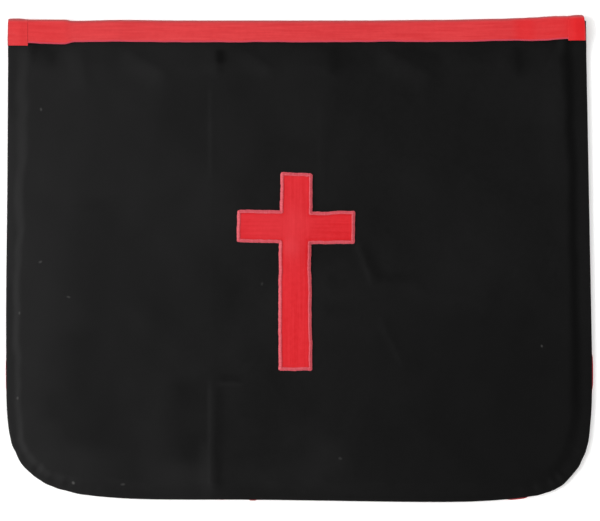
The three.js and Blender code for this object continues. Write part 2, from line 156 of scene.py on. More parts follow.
def make_piece(
    name: str,
    points: Array,
    faces: Array,
    uv: Optional[Array] = None,
    marks: Optional[dict[str, Array]] = None,
) -> Piece:
    """Makes a smooth mesh object at the origin.

    Args:
        name: The piece's name.
        points: Vertices, as rows of x, y and z.
        faces: Quads, as rows of four vertex numbers.
        uv: A pair of measures for each vertex, written to its UV map.
        marks: Values for each vertex, written as attributes by these names.

    Returns:
        The object, linked to the scene.
    """
    mesh = bpy.data.meshes.new(name)
    mesh.from_pydata(points.reshape(-1, 3).tolist(), [], faces.tolist())
    mesh.polygons.foreach_set("use_smooth", np.ones(len(mesh.polygons), dtype=bool))
    if uv is not None:
        layer = mesh.uv_layers.new(name="measure")
        corners = np.empty(len(mesh.loops), dtype=np.int32)
        mesh.loops.foreach_get("vertex_index", corners)
        layer.data.foreach_set("uv", uv.reshape(-1, 2)[corners].ravel())
    for label, values in (marks or {}).items():
        layer = mesh.attributes.new(label, "FLOAT", "POINT")
        layer.data.foreach_set("value", np.ravel(values).astype(np.float32))
    mesh.update()
    piece = bpy.data.objects.new(name, mesh)
    bpy.context.scene.collection.objects.link(piece)
    return piece


def dress(piece: Piece, material: Material, solid: str) -> None:
    """Gives a piece its finish, and has it ride in its solid's place."""
    piece.data.materials.append(material)
    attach(piece, "root")
    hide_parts(solid)


def thicken(piece: Piece, ply: float) -> None:
    """Gives a sheet its thickness, inwards from the side that shows."""
    wall = piece.modifiers.new("ply", "SOLIDIFY")
    wall.thickness = ply
    wall.offset = -1.0
    wall.use_even_offset = True


def resample(points: Array, density: Array, count: int) -> Array:
    """Spaces count points along a line, closer together where density is high.

    Args:
        points: The line, as rows of x and y.
        density: How many points a metre gets at each of them, in any unit.
        count: How many points to return, both ends included.

    Returns:
        The new points, at even steps of the running sum of length × density.
    """
    lengths = np.hypot(*np.diff(points, axis=0).T) * (density[1:] + density[:-1]) / 2.0
    reached = np.concatenate([[0.0], np.cumsum(lengths)])
    wanted = np.linspace(0.0, reached[-1], count)
    return np.stack([np.interp(wanted, reached, points[:, axis]) for axis in (0, 1)], axis=-1)


# The apron's plan


class Side(Enum):
    """The two sides of the apron, as it is looked at."""

    LEFT = -1
    RIGHT = 1


@dataclass(frozen=True)
class Corner:
    """A lower corner and the side above it.

    The corner is a quarter of a superellipse, |u/wide|^power + |v/tall|^power = 1,
    and the side runs up from it in a straight line that leans in by top_inset.
    """

    side: Side
    half_width: float
    wide: float
    tall: float
    power: float
    base: float
    top: float
    top_inset: float

    @property
    def centre_x(self) -> float:
        """X of the superellipse's centre."""
        return self.side.value * (self.half_width - self.wide)

    @property
    def centre_y(self) -> float:
        """Y of the superellipse's centre, where the straight side begins."""
        return self.base + self.tall

    def arc(self, turn: Array) -> Array:
        """Points at a turn from 0, at the side, to a right angle, at the base."""
        across = np.maximum(np.cos(turn), 0.0) ** (2.0 / self.power)
        down = np.maximum(np.sin(turn), 0.0) ** (2.0 / self.power)
        x = self.centre_x + self.side.value * self.wide * across
        return np.stack([x, self.centre_y - self.tall * down], axis=-1)

    def side_x(self, y: Array) -> Array:
        """X of the side's edge at a height above the corner's centre."""
        up = np.clip((y - self.centre_y) / (self.top - self.centre_y), 0.0, 1.0)
        return self.side.value * (self.half_width - self.top_inset * up)

    def inward(self, places: Array) -> Array:
        """Unit steps inwards, square to the edge, at places on it."""
        across = np.clip(self.side.value * (places[:, 0] - self.centre_x) / self.wide, 0.0, 1.0)
        down = np.clip((self.centre_y - places[:, 1]) / self.tall, 0.0, 1.0)
        steep = self.power - 1.0
        step_x = -self.side.value * across**steep / self.wide
        steps = np.stack([step_x, down**steep / self.tall], axis=-1)
        straight = places[:, 1] >= self.centre_y
        steps[straight] = (-self.side.value, 0.0)
        return steps / np.linalg.norm(steps, axis=1, keepdims=True)


@dataclass(frozen=True)
class BandLine:
    """The waistband's upper and lower edges, eased from section to section.

    A section has its place along the band as a share, its lift as a share of the
    end rise, its drop as a share of the height, and how much thicker it is where
    the ribbon is doubled.
    """

    left: float
    right: float
    level: float
    height: float = 14.3 * MM
    end_rise: float = 3.2 * MM
    fold_depth: float = 3.1 * MM
    along: Row = (0, 0.004, 0.098, 0.112, 0.195, 0.3, 0.6, 0.75, 0.85, 0.888, 0.905, 0.95, 0.996, 1)
    lift: Row = (0.14, 0.22, 0.2, -0.07, 0.13, 0, 0, 0.15, 0.37, 0.54, 0.65, 0.95, 1, 0.84)
    drop: Row = (0.11, 0.11, 0.11, 0.05, 0, 0, 0.01, -0.01, -0.01, -0.03, -0.05, -0.08, -0.085, -0.085)
    doubled: Row = (0.3, 0.3, 0.3, 0, 0, 0, 0, 0, 0, 0, 0.3, 0.3, 0.3, 0.3)
    # Places along the band and how much lower its lip is sewn there, in millimetres
    sewn_at: Row = (-203, -185.8, -178.5, -161.6, -158.5, -155, -148, -123.6, -96, -54, 0, 38)
    sewn_at += (56, 70, 94, 111.5, 125, 145, 153, 160, 172, 177, 184, 203)
    sewn_low: Row = (0.15, 0.15, 0.7, 0.65, 0.6, 0.1, 0.1, 0.6, 0.85, 0.95, 0.72, 0.83)
    sewn_low += (0.35, 0.55, 1, 0.8, 0.4, 0, 0.35, 0.78, 0.73, 0.38, 0.1, 0.1)

    def column(self, x: Array, values: Row) -> Array:
        """One value of the sections at x, eased between them."""
        along = np.clip((np.asarray(x, dtype=float) - self.left) / (self.right - self.left), 0.0, 1.0)
        places, values = np.array(self.along), np.array(values)
        upper = np.clip(np.searchsorted(places, along, side="right"), 1, len(places) - 1)
        return mix(values[upper - 1], values[upper], smoothstep(along, places[upper - 1], places[upper]))

    def top(self, x: Array) -> Array:
        """Y of the fold's outer edge."""
        return self.level + self.end_rise * self.column(x, self.lift)

    def lip(self, x: Array) -> Array:
        """Y of both flaps' lower edge."""
        lower = np.interp(x, MM * np.array(self.sewn_at), MM * np.array(self.sewn_low))
        return self.level - self.height * (1.0 + self.column(x, self.drop)) - lower

    def to_end(self, x: Array) -> Array:
        """How far x is from the nearer end."""
        return np.minimum(x - self.left, self.right - x)

    def cloth_top(self, x: Array) -> Array:
        """Y where the cloths end inside the fold."""
        return self.top(x) - self.fold_depth


@dataclass(frozen=True)
class Fold:
    """A ridge in the cloth along a line in millimetres, or a dip where high is negative.

    Its height is high × exp(−(distance from the line / width)²), eased to
    nothing at the line's ends. Seen from start to end, the width is greater by
    the share lean on the right of the line, and smaller by it on the left. Light
    is painted on along it as a paler colour, and shade as a deeper one where that
    share is negative.
    """

    start_x: float
    start_y: float
    end_x: float
    end_y: float
    width: float
    high: float
    lean: float = 0.0
    painted_light_share: float = 0.0

    def share(self, x: Array, y: Array) -> Array:
        """The fold's height at x and y, as a share of high."""
        run_x, run_y = (self.end_x - self.start_x) * MM, (self.end_y - self.start_y) * MM
        from_x, from_y = x - self.start_x * MM, y - self.start_y * MM
        length = math.hypot(run_x, run_y)
        along = (from_x * run_x + from_y * run_y) / length
        across = (from_x * run_y - from_y * run_x) / length
        ease = min(length / 3.0, 12.0 * MM)
        ends = smoothstep(along, 0.0, ease) * fall(along, length - ease, length)
        width = self.width * MM * (1.0 + self.lean * np.sign(across))
        return ends * bell(across / width)


@dataclass(frozen=True)
class Spot:
    """A spot round a place in millimetres, high × exp(−(distance / width)²) strong."""

    x: float
    y: float
    width: float
    high: float

    def strength(self, x: Array, y: Array) -> Array:
        """The spot's strength at x and y."""
        distance = np.hypot(x - self.x * MM, y - self.y * MM) / (self.width * MM)
        return self.high * bell(distance)


# Where the hand-sewn edge strays outwards, or inwards below 0, in millimetres
EDGE_STRAYS = (
    Spot(-202, -25, 50, 0.4),
    Spot(-170, -156, 24, 0.85),
    Spot(147, -167, 26, -1.2),
    Spot(177, -158, 8, 0.9),
    Spot(196, -134, 12, 0.8),
    Spot(-195, -140, 14, 0.4),
)

# Folds pressed or pulled into the face cloth, in millimetres, with light and shade painted along them
FACE_FOLDS = (
    # Pressed lines left by long folding
    Fold(-61, 124, -61, 52, 1.9, 0.24, -0.35, 0.1),
    Fold(-61, 60, -61, -95, 2, 0.06, -0.3),
    Fold(-61, -80, -61.3, -166, 2.6, 0.42, -0.45, 0.15),
    Fold(-63.5, -122, -63.5, -172, 4, 0.4, 0.2, 0.2),
    Fold(-55, -84, -56, -166, 3.5, 0, 0, -0.2),
    Fold(-59, -86, -37, -86.2, 1.5, 0.3, 0, 0.22),
    Fold(-58, -82.5, -36, -82.5, 2.4, -0.1, 0, -0.15),
    Fold(-62, 48, -32, 48, 1.8, 0.16, 0, 0.05),
    Fold(14.5, 112, 16.5, 36, 2, 0.2, 0, 0.05),
    # Slack at the right of the cross
    Fold(38, 17, 52.5, -21, 3.2, 0.8, -0.5, 0.05),
    Fold(43, 10, 60, -20, 5, 0, 0, -0.3),
    Fold(48, -15.5, 90, -18.5, 4, 0.6, 0.3, 0.05),
    Fold(46, -12, 90, -13, 3.6, 0, 0, -0.25),
    Fold(76, -24, 142, -27.5, 5, 0.55, 0.2, 0.06),
    Fold(18, -24, 58, -26, 5, 0.3, 0, 0.06),
    Fold(53, -38, 73.5, -77, 2, 0.36, -0.45, 0.15),
    Fold(19, -2, 24, -34, 4.5, 0.4, 0.4),
    Fold(15, -34, 42, -36, 4.5, -0.15, 0, -0.15),
    Fold(14, -8, 38, -3, 4, 0.35, 0, 0.08),
    # Drag lines below the waistband
    Fold(-124, 146, -86, 124, 6, 1, 0.4, 0.06),
    Fold(-118, 138, -90, 118, 8, 0, 0, 0.1),
    Fold(-42, 144, -13, 127, 5, 1, 0.4, 0.12),
    Fold(-153, 150, -147, 112, 7, 0.8, 0.3, 0.12),
    Fold(54, 145, 98, 122, 7.5, 1.4, 0.45, 0.08),
    Fold(98, 143, 140, 132, 5, 0.5, 0.3),
    # Dimples at the waistband's sewing
    Fold(-56.5, 150, -56, 124, 5, 1.1, 0.55),
    Fold(-54.4, 145.5, -53.6, 134, 3.2, -0.25, 0, -0.55),
    Fold(-178, 150, -170, 128, 7, 0.35, 0.4),
    Fold(-186, 149, -164, 136, 8, -0.1, 0, -0.17),
    Fold(21, 150, 22, 124, 7, 0.9, 0.5),
    Fold(26, 152, 29.5, 126, 7.5, -0.15, 0, -0.26),
    Fold(66, 150, 104, 137, 5, -0.3, 0, -0.4),
    Fold(108, 150, 146, 144, 5.5, -0.2, 0, -0.3),
    Fold(147.5, 150, 149, 122, 8, 1.2, 0.5),
    Fold(152.5, 153, 155.5, 124, 9, -0.25, 0, -0.36),
    # Painted light and shade without a fold of their own: paler and deeper patches
    Fold(-112, -150, 24, -152, 11, 0, 0, 0.12),
    Fold(20, -120, 26, -152, 10, 0, 0, 0.12),
    Fold(104, 118, 150, 62, 22, 0, 0, -0.12),
    Fold(174, 147, 175, 40, 8, 0, 0, 0.08),
    Fold(-148, 48, -146, -138, 24, 0, 0, -0.12),
    Fold(-163, -44, -158, -134, 22, 0, 0, -0.1),
    Fold(-80, -78, -80, -148, 12, 0, 0, -0.16),
    Fold(-171, -86, -171, -118, 8, 0, 0, -0.14),
    Fold(-199, 104, -200, -22, 4, 0, 0, 0.2),
)


@dataclass
class Lay:
    """How the apron lies: its plan, and the height of each layer over the floor."""

    gap: float = 0.3 * MM
    cloth: float = 1.0 * MM
    hem_width: float = 14.0 * MM
    rim_reach: float = 22.0 * MM
    face_rise: float = 3.0 * MM
    left_shoulder: float = 7.7 * MM
    base_shoulder: float = 9.5 * MM
    right_shoulder: float = 11.6 * MM
    left_width: float = 11.0 * MM
    right_width: float = 10.0 * MM
    left_gain: float = 2.8 * MM
    right_gain: float = 1.8 * MM
    left_base_rise: float = 1.7 * MM
    left_narrow: float = 0.54
    right_broad: float = 1.35
    right_drift: float = 0.5
    drift_slant: float = 1.3
    held_width: float = 7.0 * MM
    top_shoulder_width: float = 19.0 * MM
    ramp_width: float = 13.0 * MM
    slack: Wobble = Wobble(seed=11, longest=110 * MM, shortest=20 * MM, waves=16)
    slack_height: float = 0.2 * MM
    drift: Wobble = Wobble(seed=5, longest=150 * MM, shortest=22 * MM, waves=9)
    drift_width: float = 0.7 * MM
    left: Corner = field(init=False)
    right: Corner = field(init=False)
    band: BandLine = field(init=False)

    def __post_init__(self) -> None:
        """Takes the plan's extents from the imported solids."""
        face_low, face_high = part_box("face_cloth")
        band_low, band_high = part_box("waistband")
        plan = {"half_width": float(face_high[0]), "top": float(band_high[1])}
        base = float(face_low[1])
        left = {"wide": 149 * MM, "tall": 93 * MM, "power": 4.1, "top_inset": 1.4 * MM}
        right = {"wide": 97 * MM, "tall": 98 * MM, "power": 3.8, "top_inset": 4.5 * MM}
        self.left = Corner(Side.LEFT, base=base + self.left_base_rise, **left, **plan)
        self.right = Corner(Side.RIGHT, base=base, **right, **plan)
        self.band = BandLine(float(band_low[0]), float(band_high[0]), plan["top"] - BandLine.end_rise)

    @property
    def hem_thickness(self) -> float:
        """Two layers of the face cloth and the slit between them."""
        return 2.0 * self.cloth + self.gap

    def back_under(self, x: Array, y: Array) -> Array:
        """Underside of the backing, which climbs over the waistband's back flap."""
        flap_edge = self.band.lip(x) - self.gap
        return (self.cloth + self.gap) * smoothstep(y - flap_edge, -self.ramp_width, 0.0)

    def face_under(self, x: Array, y: Array) -> Array:
        """Underside of the hem."""
        return self.back_under(x, y) + self.cloth + self.gap

    def inner(self, x: Array, y: Array, inset: Array) -> Array:
        """How far in from its hem a place on the face is, from 0 to 1.

        The shoulder's middle and width ease from side to side and with height,
        and its middle drifts a little.
        """
        high = smoothstep(y, -20 * MM, 120 * MM)
        top = smoothstep(y, 95 * MM, 142 * MM)
        on_left = x < 0.0
        left = self.left_shoulder + self.left_gain * high
        middle = np.where(on_left, left, self.right_shoulder + self.right_gain * top)
        on_base = fall(y - self.right.base, 15 * MM, 60 * MM)
        off_sides = fall(np.abs(x), 130 * MM, 190 * MM)
        middle = mix(middle, self.base_shoulder, on_base * off_sides)
        drift = self.drift_width * np.where(on_left, 1.0, self.right_drift)
        middle = middle + drift * self.drift.along(x - self.drift_slant * y)
        left = self.left_width * mix(self.left_narrow, 1.0, high)
        width = np.where(on_left, left, self.right_width * mix(1.0, self.right_broad, top))
        return smoothstep((inset - middle) / width, -0.5, 0.5)

    def under_band(self, x: Array, y: Array, width: float) -> Array:
        """How far below the waistband's lip a place is, from 0 at it to 1 at the width."""
        return smoothstep(self.band.lip(x) - y, 0.0, width)

    def relief(self, x: Array, y: Array) -> Array:
        """Folds and slack of the face cloth."""
        folds = sum(fold.high * fold.share(x, y) for fold in FACE_FOLDS)
        return folds * MM + self.slack_height * self.slack.over(x, y)

    def face_top(self, x: Array, y: Array, inset: Array) -> Array:
        """Upper side of the face cloth, inset being the way in from its edge."""
        inner = self.inner(x, y, inset)
        raised = inner * self.under_band(x, y, self.top_shoulder_width)
        loose = inner * self.under_band(x, y, self.held_width)
        on_hem = fall(inset, self.hem_width, self.rim_reach - 1.0 * MM)
        flat = (self.hem_thickness - self.cloth) * on_hem
        high = mix(flat, self.face_rise, raised)
        return self.face_under(x, y) + self.cloth + high + loose * self.relief(x, y)

    def middle_top(self, x: Array, y: Array) -> Array:
        """Upper side of the face cloth inside its rim."""
        return self.face_top(x, y, np.full(np.shape(x), self.rim_reach))


@dataclass
class Edge:
    """Stations down the left side, along the base and up the right side."""

    lay: Lay
    rows: int
    columns: int
    side_crease: float = -86 * MM
    base_crease: float = -61 * MM
    base_slack: float = 56 * MM
    samples: int = 600
    band_closer: float = 1.1
    corner_closer: float = 0.8
    side_crease_closer: float = 1.2
    base_crease_closer: float = 1.8
    base_ends_closer: float = 0.6
    base_slack_closer: float = 0.6
    places: Array = field(init=False)
    inward: Array = field(init=False)
    astray: Array = field(init=False)

    def __post_init__(self) -> None:
        """Spaces the stations, closer together near the band, the corners and the crease."""
        left = self._side_run(self.lay.left)
        right = self._side_run(self.lay.right)[::-1]
        base = self._base_run()
        self.places = np.concatenate([left, base[1:-1], right])
        on_left = self.places[:, 0] < (self.lay.left.centre_x + self.lay.right.centre_x) / 2.0
        from_left = self.lay.left.inward(self.places)
        from_right = self.lay.right.inward(self.places)
        self.inward = np.where(on_left[:, None], from_left, from_right)
        self.astray = MM * sum(spot.strength(*self.places.T) for spot in EDGE_STRAYS)

    def _side_run(self, corner: Corner) -> Array:
        """Stations from the cloth's top edge to the middle of a corner."""
        band = self.lay.band
        top_x = corner.side_x(np.array(band.level))
        heights = np.linspace(float(band.cloth_top(top_x)), corner.centre_y, 3 * self.samples // 2)
        straight = np.stack([corner.side_x(heights), heights], axis=-1)
        bend = corner.arc(np.pi / 4.0 * np.linspace(0.0, 1.0, self.samples)[1:] ** 2)
        line = np.concatenate([straight, bend])
        below = float(band.lip(top_x)) - line[:, 1]
        near_band = fall(below, 20 * MM, 45 * MM)
        near_corner = smoothstep(corner.centre_y - line[:, 1], 5 * MM, 40 * MM)
        crease = bell((line[:, 1] - self.side_crease) / (6 * MM))
        density = 1.0 + self.band_closer * near_band + self.corner_closer * near_corner
        return resample(line, density + self.side_crease_closer * crease, self.rows)

    def _base_run(self) -> Array:
        """Stations between the middles of the two corners."""
        left, right = self.lay.left, self.lay.right
        turns = np.pi / 2.0 - np.pi / 4.0 * np.linspace(1.0, 0.0, self.samples) ** 2
        xs = np.linspace(left.centre_x, right.centre_x, self.samples)[1:-1]
        level = mix(left.base, right.base, smoothstep(xs, left.centre_x, right.centre_x))
        middle = np.stack([xs, level], axis=-1)
        line = np.concatenate([left.arc(turns), middle, right.arc(turns)[::-1]])
        crease = bell((line[:, 0] - self.base_crease) / (7 * MM))
        corners = smoothstep(np.abs(line[:, 0] - 10 * MM), 100 * MM, 150 * MM)
        slack = bell((line[:, 0] - self.base_slack) / (20 * MM))
        density = 1.0 + self.base_crease_closer * crease + self.base_ends_closer * corners
        return resample(line, density + self.base_slack_closer * slack, self.columns)

    def plan(self, insets: Array) -> Array:
        """Places at each way in from each station, the cloth's top edge kept.

        The strays move the edge in full, and nothing at the middle patch's border.

        Args:
            insets: Ways in from the edge, one row for each, or one for each station.

        Returns:
            X and Y, by way in and station.
        """
        insets = np.broadcast_to(insets.reshape(len(insets), -1), (len(insets), len(self.places)))
        strays = self.astray * fall(insets, 2 * MM, self.lay.rim_reach)
        plan = self.places[None] + self.inward[None] * (insets - strays)[..., None]
        for end in (0, -1):
            plan[:, end, 1] = self.lay.band.cloth_top(plan[:, end, 0])
        return plan

    def patch(self) -> Array:
        """Places of the middle patch, blended from its four edges.

        A place is its row's mix of the two sides, plus its column's mix of the
        top edge and the base, less the mix of the four corners.
        """
        inner = self.plan(np.array([self.lay.rim_reach]))[0]
        left, right = inner[: self.rows], inner[::-1][: self.rows]
        base = inner[self.rows - 1 : self.rows - 1 + self.columns]
        share = ((base[:, 0] - base[0, 0]) / (base[-1, 0] - base[0, 0]))[None, :]
        down = ((left[0, 1] - left[:, 1]) / (left[0, 1] - left[-1, 1]))[:, None]
        top_x = base[:, 0] + (left[0, 0] - base[0, 0]) * (1.0 - share[0]) ** 3
        top_x = top_x + (right[0, 0] - base[-1, 0]) * share[0] ** 3
        top = np.stack([top_x, self.lay.band.cloth_top(top_x)], axis=-1)
        sides = mix(left[:, None], right[:, None], share[..., None])
        ends = mix(top[None], base[None], down[..., None])
        top_line = mix(left[0], right[0], share[..., None])
        base_line = mix(left[-1], right[-1], share[..., None])
        places = sides + ends - mix(top_line, base_line, down[..., None])
        places[:, 0], places[:, -1], places[-1], places[0, 1:-1] = left, right, base, top[1:-1]
        return places

    def join(self, rim: Array, rim_z: Array, patch: Array, patch_z: Array) -> tuple[Array, Array, Array]:
        """Joins a rim to the middle patch.

        Args:
            rim: X and Y of the rim, its first line being the patch's border.
            rim_z: Z of the rim.
            patch: X and Y of the patch.
            patch_z: Z of the patch.

        Returns:
            The vertices, the quads, and a mask of the patch's places that the rim lacks.
        """
        index = np.arange(rim_z.size).reshape(rim_z.shape)
        middle = np.full((self.rows, self.columns), -1)
        middle[:, 0] = index[0, : self.rows]
        middle[:, -1] = index[0, ::-1][: self.rows]
        middle[-1] = index[0, self.rows - 1 : self.rows - 1 + self.columns]
        new = middle < 0
        middle[new] = index.size + np.arange(int(new.sum()))
        rim_points = np.concatenate([rim, rim_z[..., None]], axis=-1).reshape(-1, 3)
        patch_points = np.concatenate([patch, patch_z[..., None]], axis=-1)[new]
        quads = np.concatenate([net_faces(index), net_faces(middle)])
        return np.concatenate([rim_points, patch_points]), quads, new


# Finishes


class Nodes:
    """Lays out the nodes of one material or node group."""

    def __init__(self, tree: Tree) -> None:
        """Keeps the tree that the nodes go into."""
        self.tree = tree

    def feed(self, socket: Socket, source: object) -> None:
        """Links a socket to another socket, or sets its value."""
        if isinstance(source, Socket):
            self.tree.links.new(source, socket)
        else:
            socket.default_value = source

    def wire(self, sockets: Sockets, **sources: object) -> None:
        """Feeds sockets by name, with _ for a space."""
        for label, source in sources.items():
            self.feed(sockets[label.replace("_", " ")], source)

    def add(self, kind: str, *sources: object, **settings: object) -> bpy.types.Node:
        """Adds a node, sets its properties and feeds its first inputs in order."""
        node = self.tree.nodes.new(kind)
        for name, value in settings.items():
            setattr(node, name, value)
        for socket, source in zip(node.inputs, sources):
            self.feed(socket, source)
        return node

    def math(self, operation: str, *sources: object) -> Socket:
        """A Math node over one to three sources."""
        return self.add("ShaderNodeMath", *sources, operation=operation).outputs[0]

    def blend(self, share: object, first: object, second: Colour) -> Socket:
        """A mix of a colour, or the socket of one, with a second colour."""
        node = self.add("ShaderNodeMix", share, data_type="RGBA")
        self.feed(node.inputs[6], first if isinstance(first, Socket) else (*first, 1.0))
        self.feed(node.inputs[7], (*second, 1.0))
        return node.outputs[2]

    def noise(self, vector: Socket, scale: object, detail: float) -> Socket:
        """A Noise Texture's value."""
        node = self.add("ShaderNodeTexNoise")
        self.wire(node.inputs, Vector=vector, Scale=scale, Detail=detail)
        return node.outputs["Fac"]

    def spread(self, value: Socket, *limits: float) -> Socket:
        """A Map Range node from a low and high to another low and high, held at its ends."""
        return self.add("ShaderNodeMapRange", value, *limits).outputs[0]

    def group(self, tree: Tree, **sources: object) -> Sockets:
        """The outputs of a group, its inputs fed by name."""
        node = self.add("ShaderNodeGroup", node_tree=tree)
        self.wire(node.inputs, **sources)
        return node.outputs

    def parts(self, vector: Socket) -> Sockets:
        """The X, Y and Z of a vector."""
        return self.add("ShaderNodeSeparateXYZ", vector).outputs

    def place(self) -> Socket:
        """The place on the piece, in Object coordinates."""
        return self.add("ShaderNodeTexCoord").outputs["Object"]

    def measure(self) -> Socket:
        """The piece's UV map."""
        return self.add("ShaderNodeUVMap", uv_map="measure").outputs[0]

    def mark(self, label: str) -> Socket:
        """The value of a piece's attribute."""
        return self.add("ShaderNodeAttribute", attribute_name=label).outputs["Fac"]


class Surface(Nodes):
    """The nodes of a new material, with its Principled shader's inputs."""

    def __init__(self, name: str, **values: object) -> None:
        """Makes the material and feeds its shader by name."""
        self.material = bpy.data.materials.new(name)
        self.material.use_nodes = True
        super().__init__(self.material.node_tree)
        self.shader = self.tree.nodes["Principled BSDF"].inputs
        self.wire(self.shader, **values)

    def bump(self, height: Socket, distance: float) -> None:
        """Tilts the shading by a height."""
        node = self.add("ShaderNodeBump")
        self.wire(node.inputs, Strength=1.0, Distance=distance, Height=height)
        self.feed(self.shader["Normal"], node.outputs[0])


def new_group(
    name: str, inputs: dict[str, object], outputs: Sequence[str]
) -> tuple[Nodes, Sockets, Sockets]:
    """Makes a shader node group with named sockets.

    Args:
        name: The group's name.
        inputs: Default value for each input name: a number, a vector, or None for
            a vector that is always linked.
        outputs: The outputs' names, each holding a number.

    Returns:
        The group's nodes, what its inputs bring, and its outputs to be fed.
    """
    group = bpy.data.node_groups.new(name, "ShaderNodeTree")
    for label, value in inputs.items():
        kind = "NodeSocketFloat" if isinstance(value, float) else "NodeSocketVector"
        socket = group.interface.new_socket(label, in_out="INPUT", socket_type=kind)
        if value is not None:
            socket.default_value = value
    for label in outputs:
        group.interface.new_socket(label, in_out="OUTPUT", socket_type="NodeSocketFloat")
    source = group.nodes.new("NodeGroupInput").outputs
    return Nodes(group), source, group.nodes.new("NodeGroupOutput").inputs


def weave_group() -> Tree:
    """Plain weave: height is half of 1 + sin u × sin v, over thread numbers u and v.

    The thread numbers wander by a little noise, so the rows aren't ruled.
    """
    nodes, source, out = new_group("plain_weave", {"Vector": None, "Pitch": 0.5 * MM}, ("Height", "Tone"))
    parts = nodes.parts(source["Vector"])
    wander = nodes.noise(source["Vector"], 90.0, 2.0)
    waves = []
    for axis in ("X", "Y"):
        threads = nodes.math("DIVIDE", parts[axis], source["Pitch"])
        turned = nodes.math("MULTIPLY_ADD", wander, 1.6, threads)
        waves.append(nodes.math("SINE", nodes.math("MULTIPLY", turned, 2.0 * math.pi)))
    height = nodes.math("MULTIPLY_ADD", nodes.math("MULTIPLY", *waves), 0.5, 0.5)
    nodes.wire(out, Height=height, Tone=nodes.noise(source["Vector"], 2600.0, 1.0))
    return nodes.tree


def wear_group() -> Tree:
    """Uneven tone of used cloth: a broad noise and a fine one, added."""
    inputs = {"Vector": None, "Broad": 14.0, "Fine": 320.0}
    nodes, source, out = new_group("cloth_wear", inputs, ("Tone", "Cloud"))
    broad = nodes.noise(source["Vector"], source["Broad"], 4.0)
    fine = nodes.noise(source["Vector"], source["Fine"], 2.0)
    tone = nodes.math("MULTIPLY_ADD", fine, 0.35, nodes.math("MULTIPLY", broad, 0.65))
    nodes.wire(out, Tone=tone, Cloud=broad)
    return nodes.tree


def streak_group() -> Tree:
    """Streaks along single threads: a noise drawn out by the scale's smaller parts."""
    nodes, source, out = new_group("thread_streaks", {"Vector": None, "Scale": (1.0, 1.0, 1.0)}, ("Tone",))
    stretch = nodes.add("ShaderNodeMapping")
    nodes.wire(stretch.inputs, Vector=source["Vector"], Scale=source["Scale"])
    nodes.wire(out, Tone=nodes.noise(stretch.outputs[0], 700.0, 3.0))
    return nodes.tree


def lint_group() -> Tree:
    """One speck of lint: 1 inside an ellipse of half sizes Size, turned about its Place."""
    inputs = {"Vector": None, "Place": (0.0, 0.0, 0.0), "Turn": 0.0, "Size": (1.0, 1.0, 1.0)}
    nodes, source, out = new_group("lint_speck", inputs, ("Mask",))
    away = nodes.add("ShaderNodeVectorMath", source["Vector"], source["Place"], operation="SUBTRACT")
    turned = nodes.add("ShaderNodeVectorRotate", rotation_type="Z_AXIS")
    nodes.wire(turned.inputs, Vector=away.outputs[0], Angle=source["Turn"])
    shares = nodes.add("ShaderNodeVectorMath", turned.outputs[0], source["Size"], operation="DIVIDE")
    reach = nodes.add("ShaderNodeVectorMath", shares.outputs[0], operation="LENGTH")
    nodes.wire(out, Mask=nodes.spread(reach.outputs["Value"], 0.5, 1.0, 1.0, 0.0))
    return nodes.tree


@dataclass(frozen=True)
class Groups:
    """The node groups that the finishes use."""

    weave: Tree
    wear_and_painted_light: Tree
    streaks: Tree
    lint: Tree


@dataclass(frozen=True)
class Speck:
    """A speck of lint: its place and half sizes in millimetres, and its turn in degrees."""

    x: float
    y: float
    turn: float
    half_length: float
    half_width: float
    strength: float = 0.45


@dataclass(frozen=True)
class Finish:
    """A material's name, its two colours and its gloss."""

    name: str
    colour: Colour
    deep: Colour
    roughness: float = 0.5
    specular: float = 0.12
    sheen: float = 0.1
    sheen_roughness: float = 0.35

    def surface(self) -> Surface:
        """Starts the material with its gloss."""
        return Surface(
            self.name,
            Roughness=self.roughness,
            Specular_IOR_Level=self.specular,
            Sheen_Weight=self.sheen,
            Sheen_Roughness=self.sheen_roughness,
        )


